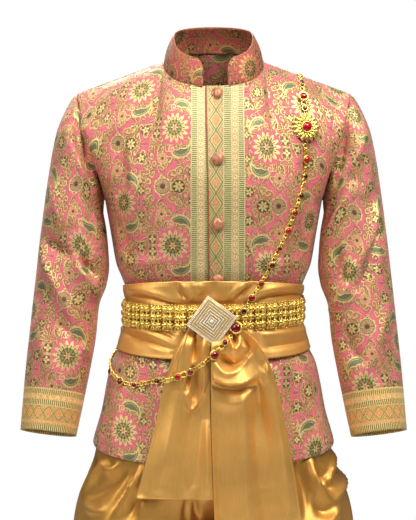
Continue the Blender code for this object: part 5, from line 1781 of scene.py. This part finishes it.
STONE_ROWS = named_rows(  # squares of stones, from the edge in: half their side, and how high
    "half height",
    (0.0287, 0.0040),
    (0.0262, 0.0042),
    (0.0222, 0.0050),
    (0.0180, 0.0060),
    (0.0138, 0.0070),
    (0.0096, 0.0078),
    (0.0052, 0.0084),
)
PLATE = named_rows(  # the stepped plate beneath them, in shares of its half width
    "share height",
    (1.0, 0.0),
    (1.0, 0.0040),
    (0.84, 0.0050),
    (0.62, 0.0065),
    (0.40, 0.0078),
    (0.14, 0.0086),
)
STONE_PITCH, STONE_RADIUS, STONE_PROUD = 0.0025, 0.00122, 0.0003
MIDDLE_STONE = 0.0040  # half its side


def make_buckle(_metal):
    """A stepped square plate that stands on its corner, set with rows of clear stones."""
    paste = shared(clear_paste)
    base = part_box("buckle")[1][1]
    across = BUCKLE_SIDE / math.sqrt(2)
    side, ahead = (math.cos(BUCKLE_TURN), 0, math.sin(BUCKLE_TURN)), (0, -1, 0)
    plate = turned([(step.share * across, step.height) for step in PLATE], 4)
    at = np.array([BUCKLE_X, base, BUCKLE_Z])
    parts = [(placed(plate, at, side, ahead), shared(satin_gilt))]
    stone = turned([(0.7, -0.6), (1.0, 0.0), (0.62, 0.5)], 6)
    for row in STONE_ROWS:
        count = max(int(round(2 * row.half / STONE_PITCH)), 2)
        for edge in range(4):
            spin = math.pi / 4 + BUCKLE_TURN + edge * math.pi / 2
            way = np.array([math.cos(spin), 0, math.sin(spin)])
            out = np.array([-math.sin(spin), 0, math.cos(spin)]) * row.half
            for k in range(count):
                spot = at + way * (2 * k / count - 1) * row.half + out
                spot[1] = base - row.height - STONE_PROUD
                parts.append((placed(stone, spot, way, ahead, STONE_RADIUS), paste))
    square = turned([(0.8, -0.3), (1.0, 0.1), (0.66, 0.36)], 4)
    middle = at - (0, PLATE[-1].height, 0)
    parts.append((placed(square, middle, side, ahead, MIDDLE_STONE), paste))
    settle(gathered("buckle_stones", parts), "stone_set", "buckle")


PETALS = named_rows(  # two rings of them; turn is in shares of one petal
    "count reach size height turn",
    (16, 0.0172, 0.0037, 0.0024, 0),
    (16, 0.0128, 0.0024, 0.0042, 0.5),
)
PETAL_LENGTH = 1.9  # against its width
DISC_RADIUS, DISC_PROUD = 0.021, 0.0008
RIM_RADIUS, RIM_CORD, RIM_HEIGHT = 0.0086, 0.0015, 0.0066  # of the ring round the ruby
RUBY_RADIUS, RUBY_HEIGHT = 0.0080, 0.0070
DROPS, DROP_REACH, DROP_RADIUS, DROP_HEIGHT = 9, 0.0222, 0.0018, 0.0020  # the garnets
DROPS_START, DROPS_SPAN = 1.12, 0.76  # of their arc, in half turns


def make_brooch(metal):
    """A flower of two rings of petals round a ruby, with small garnets below it."""
    gilt, garnet = shared(gilt_metal, metal), shared(garnet_glass)
    place, away = ahead_at(tree_of(shown("left_front")), *BROOCH_AT)
    side = unit(np.cross((0, 0, 1), away))
    up = np.cross(away, side)
    centre = place + away * DISC_PROUD
    disc = turned([(0.75, 0), (0.95, 0.06), (0.5, 0.20)], 28)
    parts = [(placed(disc, centre, side, away, DISC_RADIUS), gilt)]
    petal = ball(10, 7, 0.55)
    petal[0][:, 0] *= PETAL_LENGTH
    for circle in PETALS:
        for k in range(circle.count):
            spin = 2 * math.pi * (k + circle.turn) / circle.count
            way = side * math.cos(spin) + up * math.sin(spin)
            spot = centre + way * circle.reach + away * circle.height
            parts.append((placed(petal, spot, way, away, circle.size), gilt))
    rim = placed(ring(RIM_RADIUS, RIM_CORD, 28, 8), centre + away * RIM_HEIGHT, side, away)
    ruby = placed(ball(20, 10, 0.62), centre + away * RUBY_HEIGHT, side, away, RUBY_RADIUS)
    parts += [(rim, gilt), (ruby, shared(ruby_glass))]
    for k in range(DROPS):
        spin = math.pi * (DROPS_START + DROPS_SPAN * k / (DROPS - 1))
        way = side * math.cos(spin) + up * math.sin(spin)
        spot = centre + way * DROP_REACH + away * DROP_HEIGHT
        parts.append((placed(ball(8, 5, 0.7), spot, way, away, DROP_RADIUS), garnet))
    settle(gathered("brooch_flower", parts), "stone_set", "brooch")


BRIGHT_JEWEL = 0.0057  # the radius above which a setting holds a ruby and no garnet
SIDE_SIGHT, TOP_SIGHT = 0.025, 0.3  # from where the hip and the shoulder are looked at


def chain_looks():
    """Where each stop of the chain is looked for: from where, which way, and its jewel."""
    looks = [((s.x, -SIGHT, s.z), (0, 1, 0), s.size) for s in CHAIN_FRONT]
    for stop in CHAIN_SIDE:
        turn = math.radians(stop.turn)
        base, away = on_body(turn, stop.z), on_body(turn, stop.z, SIDE_SIGHT)
        looks.append((tuple(away), tuple(unit(base - away)), stop.size))
    looks += [((s.x, SIGHT, s.z), (0, -1, 0), s.size) for s in CHAIN_BACK]
    looks += [((s.x, s.y, TOP_SIGHT), (0, 0, -1), s.size) for s in CHAIN_OVER]
    looks += [((s.x, -SIGHT, s.z), (0, 1, 0), s.size) for s in CHAIN_DOWN]
    return looks


LINK_PITCH, LINK_LIFT = 0.0058, 0.0019  # from link to link, and off what is beneath
LINK_LENGTH, LINK_WIDTH = 0.70, 0.80  # half of it in pitches, and its width against it
LINK_TILT = 0.55  # every other link leans over by this slope
LIE, ONWARD = 0.004, 0.003  # how far along to either side its lie and its way are taken
CHAIN_SIGHT = 0.02  # and from how far off
CUP = [(0.80, 0), (1.02, 0.20), (1.06, 0.50), (0.92, 0.66), (0.74, 0.50)]
CUP_LIFT = 0.0012
JEWEL_RISE, JEWEL_SIZE = 0.52, 0.78  # of a stone in its cup, in the cup's radius


def make_chain(metal):
    """Set jewels at the stops, joined by oval links that lie on what they cross."""
    gilt = shared(gilt_metal, metal)
    under = tree_of(shown("left_front", "right_front", "back", "wound_sash", "left_tail",
                          "right_tail", "belt_links", "buckle_stones"))
    looks = chain_looks()
    stops = np.array([met(under, start, way)[0] for start, way, _ in looks])
    ways = np.array([way for _, way, _ in looks], float)
    sizes = np.array([size for _, _, size in looks]) * metal.jewel_scale
    along = travelled(stops)

    def lying(at):
        """A place on what is beneath the chain, and the way out of it there."""
        near = []
        for spot in (at - LIE, at, at + LIE):
            place, way = (np.array([np.interp(spot, along, run[:, i]) for i in range(3)])
                          for run in (stops, ways))
            way = unit(way)
            near.append(met(under, place - way * CHAIN_SIGHT, way))
        return np.array(near[1][0]), unit(sum(np.array(normal) for _, normal in near) - way)

    def onward(at):
        """The way the chain runs there."""
        return lying(min(at + ONWARD, along[-1]))[0] - lying(max(at - ONWARD, 0))[0]

    link = ring(1.0, 0.31, 14, 6)
    link[0][:, 1] *= LINK_WIDTH
    cup, stone = turned(CUP, 20), ball(14, 7, 0.6)
    parts = []
    gems = [(a, size) for a, size in zip(along, sizes) if size > 0]
    marks = [(0.0, 0.0)] + gems + [(along[-1], 0.0)]
    for a, size in gems:
        place, away = lying(a)
        ahead, centre = onward(a), place + away * CUP_LIFT
        parts.append((placed(cup, centre, ahead, away, size), gilt))
        centre = centre + away * size * JEWEL_RISE
        red = shared(ruby_glass if size > BRIGHT_JEWEL else garnet_glass)
        parts.append((placed(stone, centre, ahead, away, size * JEWEL_SIZE), red))
    for (start, size0), (end, size1) in zip(marks[:-1], marks[1:]):
        gap = (end - size1) - (start + size0)
        count = max(int(round(gap / LINK_PITCH)), 1)
        for k in range(count):
            at = start + size0 + gap * (k + 0.5) / count
            place, away = lying(at)
            ahead = onward(at)
            tip = away if k % 2 == 0 else unit(away + LINK_TILT * np.cross(away, unit(ahead)))
            spot, long = place + away * LINK_LIFT, gap / count * LINK_LENGTH
            parts.append((placed(link, spot, ahead, tip, long), gilt))
    settle(gathered("chain_links", parts), "stone_set", "body_chain")


# ---------------- stage

FLOOR_RADIUS, FLOOR_THICKNESS = 2.6, 0.02
FILM = 24.0  # millimetres, the height of the camera's sensor
LAMPS = named_rows(  # square lamps: where they stand, their side and their part of the key light
    "name place size share",
    ("key", (1.3, -1.6, 1.9), 1.3, 1.0),
    ("fill", (-1.9, -1.6, 1.1), 1.4, 0.40),
    ("top", (-0.4, -0.8, 2.5), 1.3, 0.34),
    ("back", (-0.7, 2.3, 1.5), 1.6, 0.75),
)
LAMP_AIM = Vector((0, 0, -0.35))


def make_stage(stage):
    """A pale floor, a plain room with soft lamps, and the camera."""
    scene = bpy.context.scene
    scene.view_settings.view_transform = "Standard"  # the hex colours show as they are
    paint, _, _ = finish("matt pale paint", "#EEEDEA", Roughness=0.8)
    disc = turned([(FLOOR_RADIUS, -FLOOR_THICKNESS), (FLOOR_RADIUS, 0.0)], 96)
    floor = gathered("floor", [(disc, paint)])
    floor.location.z = stage.floor_height

    world = scene.world or bpy.data.worlds.new("studio")
    scene.world = world
    world.use_nodes = True
    tree = world.node_tree
    # the room's light grows upward, to both sides and towards the wall behind the outfit
    aside, ahead, up = add(tree, "SeparateXYZ", add(tree, "TexCoord")["Generated"])
    room = add(tree, "MapRange", up, -0.5, 0.7, 0.3 * stage.room_light, 1.3 * stage.room_light)
    sides = add(tree, "MapRange", add(tree, "Math ABSOLUTE", aside), 0.1, 0.8, 0.7, 1.3)
    wall = add(tree, "MapRange", ahead, 0.1, 0.9, 1.0, 3.2)
    for share in (sides, wall):
        room = add(tree, "Math MULTIPLY", room, share)
    seen = add(tree, "LightPath")["Is Camera Ray"]  # the backdrop itself shows white
    glow = add(tree, "MapRange", seen, 0.0, 1.0, room, 1.0)
    backdrop = tree.nodes["Background"].inputs
    feed(backdrop["Strength"], glow)
    feed(backdrop["Color"], (1, 1, 1, 1))

    for lamp in LAMPS:
        light = bpy.data.lights.new(lamp.name, "AREA")
        light.energy, light.size = lamp.share * stage.key_light, lamp.size
        stand = bpy.data.objects.new(lamp.name, light)
        stand.location = lamp.place
        stand.rotation_euler = (LAMP_AIM - stand.location).to_track_quat("-Z", "Y").to_euler()
        scene.collection.objects.link(stand)

    camera = bpy.data.cameras.new("camera")
    camera.sensor_fit = "VERTICAL"
    camera.sensor_height = FILM
    camera.lens = FILM * stage.camera_distance / stage.view_height
    view = bpy.data.objects.new("camera", camera)
    down = stage.camera_pitch
    aim = Vector((stage.aim_x, 0, stage.aim_z))
    view.location = aim + stage.camera_distance * Vector((0, -math.cos(down), math.sin(down)))
    view.rotation_euler = (math.pi / 2 - down, 0, 0)
    scene.collection.objects.link(view)
    scene.camera = view


# ---------------- settings and operators


def colour_setting(name, description, code):
    """A colour that the user can change."""
    return bpy.props.FloatVectorProperty(
        name=name, description=description, subtype="COLOR", size=4, min=0, max=1,
        default=linear(code),
    )


class ClothSettings(bpy.types.PropertyGroup):
    """Folds and colours of the cloth."""

    crease_strength: bpy.props.FloatProperty(
        name="Brocade creases", description="Factor on the height of the brocade's creases",
        default=1.35, min=0, max=2,
    )
    drape_strength: bpy.props.FloatProperty(
        name="Satin folds", description="Factor on the height of the satin's folds",
        default=1.85, min=0, max=2,
    )
    silk_colour: colour_setting("Silk", "The brocade's ground", "#E56E78")
    thread_colour: colour_setting("Gilt thread", "The brocade's fine figures", "#E4C27C")
    satin_colour: colour_setting("Satin", "The sash and the chong kraben", "#F4B860")
    button_colour: colour_setting("Buttons", "The silk over the buttons", "#DB9068")


class MetalSettings(bpy.types.PropertyGroup):
    """Sizes and colours of the jewellery."""

    grain_radius: bpy.props.FloatProperty(
        name="Grain", description="Radius of the belt's grains",
        default=0.0021, min=0.001, max=0.0025, unit="LENGTH", precision=4,
    )
    jewel_scale: bpy.props.FloatProperty(
        name="Jewels", description="Factor on the size of the chain's settings",
        default=1.32, min=0.8, max=1.4,
    )
    gilt_colour: colour_setting("Gilt", "The gilt metal", "#FFDC74")


class StageSettings(bpy.types.PropertyGroup):
    """The floor, the light and where the camera stands."""

    room_light: bpy.props.FloatProperty(
        name="Room light", description="How much light the room's walls give",
        default=0.08, min=0, max=1,
    )
    key_light: bpy.props.FloatProperty(
        name="Key light", description="Power of the main light", default=94.0, min=0, unit="POWER"
    )
    floor_height: bpy.props.FloatProperty(
        name="Floor height", description="Height of the floor's top", default=-1.45, unit="LENGTH"
    )
    camera_distance: bpy.props.FloatProperty(
        name="Camera distance", description="From the camera to its aim", default=3.0, unit="LENGTH"
    )
    camera_pitch: bpy.props.FloatProperty(
        name="Camera pitch", description="How far the camera looks down", default=math.radians(4),
        subtype="ANGLE",
    )
    view_height: bpy.props.FloatProperty(
        name="View height", description="Height of the view at its aim", default=0.884, unit="LENGTH"
    )
    aim_x: bpy.props.FloatProperty(
        name="Aim across", description="Where the camera looks", default=-0.0094, unit="LENGTH"
    )
    aim_z: bpy.props.FloatProperty(
        name="Aim height", description="Where the camera looks", default=-0.3352, unit="LENGTH"
    )


class Maker:
    """What the operators share: each calls its function with its settings."""

    bl_options = {"REGISTER", "UNDO"}
    settings = "chut_thai_cloth"

    def execute(self, context):
        """Builds the pieces from the scene's settings."""
        self.make(getattr(context.scene, self.settings))
        return {"FINISHED"}


class OBJECT_OT_jacket(Maker, bpy.types.Operator):
    """Builds the jacket's fronts and back"""

    bl_idname = "object.chut_thai_jacket"
    bl_label = "Jacket"
    make = staticmethod(make_jacket)


class OBJECT_OT_sleeves(Maker, bpy.types.Operator):
    """Builds the two set-in sleeves"""

    bl_idname = "object.chut_thai_sleeves"
    bl_label = "Sleeves"
    make = staticmethod(make_sleeves)


class OBJECT_OT_collar(Maker, bpy.types.Operator):
    """Builds the stand collar"""

    bl_idname = "object.chut_thai_collar"
    bl_label = "Collar"
    make = staticmethod(make_collar)


class OBJECT_OT_buttons(Maker, bpy.types.Operator):
    """Builds the covered buttons"""

    bl_idname = "object.chut_thai_buttons"
    bl_label = "Buttons"
    make = staticmethod(make_buttons)


class OBJECT_OT_kraben(Maker, bpy.types.Operator):
    """Builds the chong kraben's two halves"""

    bl_idname = "object.chut_thai_kraben"
    bl_label = "Chong kraben"
    make = staticmethod(make_kraben)


class OBJECT_OT_sash(Maker, bpy.types.Operator):
    """Builds the wound sash"""

    bl_idname = "object.chut_thai_sash"
    bl_label = "Sash"
    make = staticmethod(make_sash)


class OBJECT_OT_tails(Maker, bpy.types.Operator):
    """Builds the sash's two hanging tails"""

    bl_idname = "object.chut_thai_tails"
    bl_label = "Sash tails"
    make = staticmethod(make_tails)


class OBJECT_OT_belt(Maker, bpy.types.Operator):
    """Builds the belt's gilt links"""

    bl_idname = "object.chut_thai_belt"
    bl_label = "Belt"
    settings = "chut_thai_metal"
    make = staticmethod(make_belt)


class OBJECT_OT_buckle(Maker, bpy.types.Operator):
    """Builds the stone-set buckle"""

    bl_idname = "object.chut_thai_buckle"
    bl_label = "Buckle"
    settings = "chut_thai_metal"
    make = staticmethod(make_buckle)


class OBJECT_OT_brooch(Maker, bpy.types.Operator):
    """Builds the flower brooch"""

    bl_idname = "object.chut_thai_brooch"
    bl_label = "Brooch"
    settings = "chut_thai_metal"
    make = staticmethod(make_brooch)


class OBJECT_OT_chain(Maker, bpy.types.Operator):
    """Builds the jewelled shoulder chain"""

    bl_idname = "object.chut_thai_chain"
    bl_label = "Shoulder chain"
    settings = "chut_thai_metal"
    make = staticmethod(make_chain)


class OBJECT_OT_stage(Maker, bpy.types.Operator):
    """Builds the floor, the lights and the camera"""

    bl_idname = "object.chut_thai_stage"
    bl_label = "Stage"
    settings = "chut_thai_stage"
    make = staticmethod(make_stage)


OPERATORS = (
    OBJECT_OT_jacket,
    OBJECT_OT_sleeves,
    OBJECT_OT_collar,
    OBJECT_OT_buttons,
    OBJECT_OT_kraben,
    OBJECT_OT_sash,
    OBJECT_OT_tails,
    OBJECT_OT_belt,
    OBJECT_OT_buckle,
    OBJECT_OT_brooch,
    OBJECT_OT_chain,
    OBJECT_OT_stage,
)


class VIEW3D_PT_chut_thai(bpy.types.Panel):
    """Lists the pieces in the order in which they are built"""

    bl_idname = "VIEW3D_PT_chut_thai"
    bl_label = "Chut Thai"
    bl_space_type = "VIEW_3D"
    bl_region_type = "UI"
    bl_category = "Chut Thai"

    def draw(self, context):
        """Shows every setting, then a button for each operator."""
        for name in SETTINGS:
            group = getattr(context.scene, name)
            for key in group.bl_rna.properties.keys():
                if key not in ("rna_type", "name"):
                    self.layout.prop(group, key)
        for operator in OPERATORS:
            self.layout.operator(operator.bl_idname)


SETTINGS = {
    "chut_thai_cloth": ClothSettings,
    "chut_thai_metal": MetalSettings,
    "chut_thai_stage": StageSettings,
}


def register():
    """Adds the settings, the operators and the panel to Blender."""
    for cls in (*SETTINGS.values(), *OPERATORS, VIEW3D_PT_chut_thai):
        bpy.utils.register_class(cls)
    for name, group in SETTINGS.items():
        setattr(bpy.types.Scene, name, bpy.props.PointerProperty(type=group))


def unregister():
    """Takes them away again."""
    for name in SETTINGS:
        delattr(bpy.types.Scene, name)
    for cls in (VIEW3D_PT_chut_thai, *reversed(OPERATORS), *reversed(SETTINGS.values())):
        bpy.utils.unregister_class(cls)


def main():
    """Builds every piece through its operator."""
    register()
    for operator in OPERATORS:
        group, name = operator.bl_idname.split(".")
        getattr(getattr(bpy.ops, group), name)()


if __name__ == "__main__":
    main()
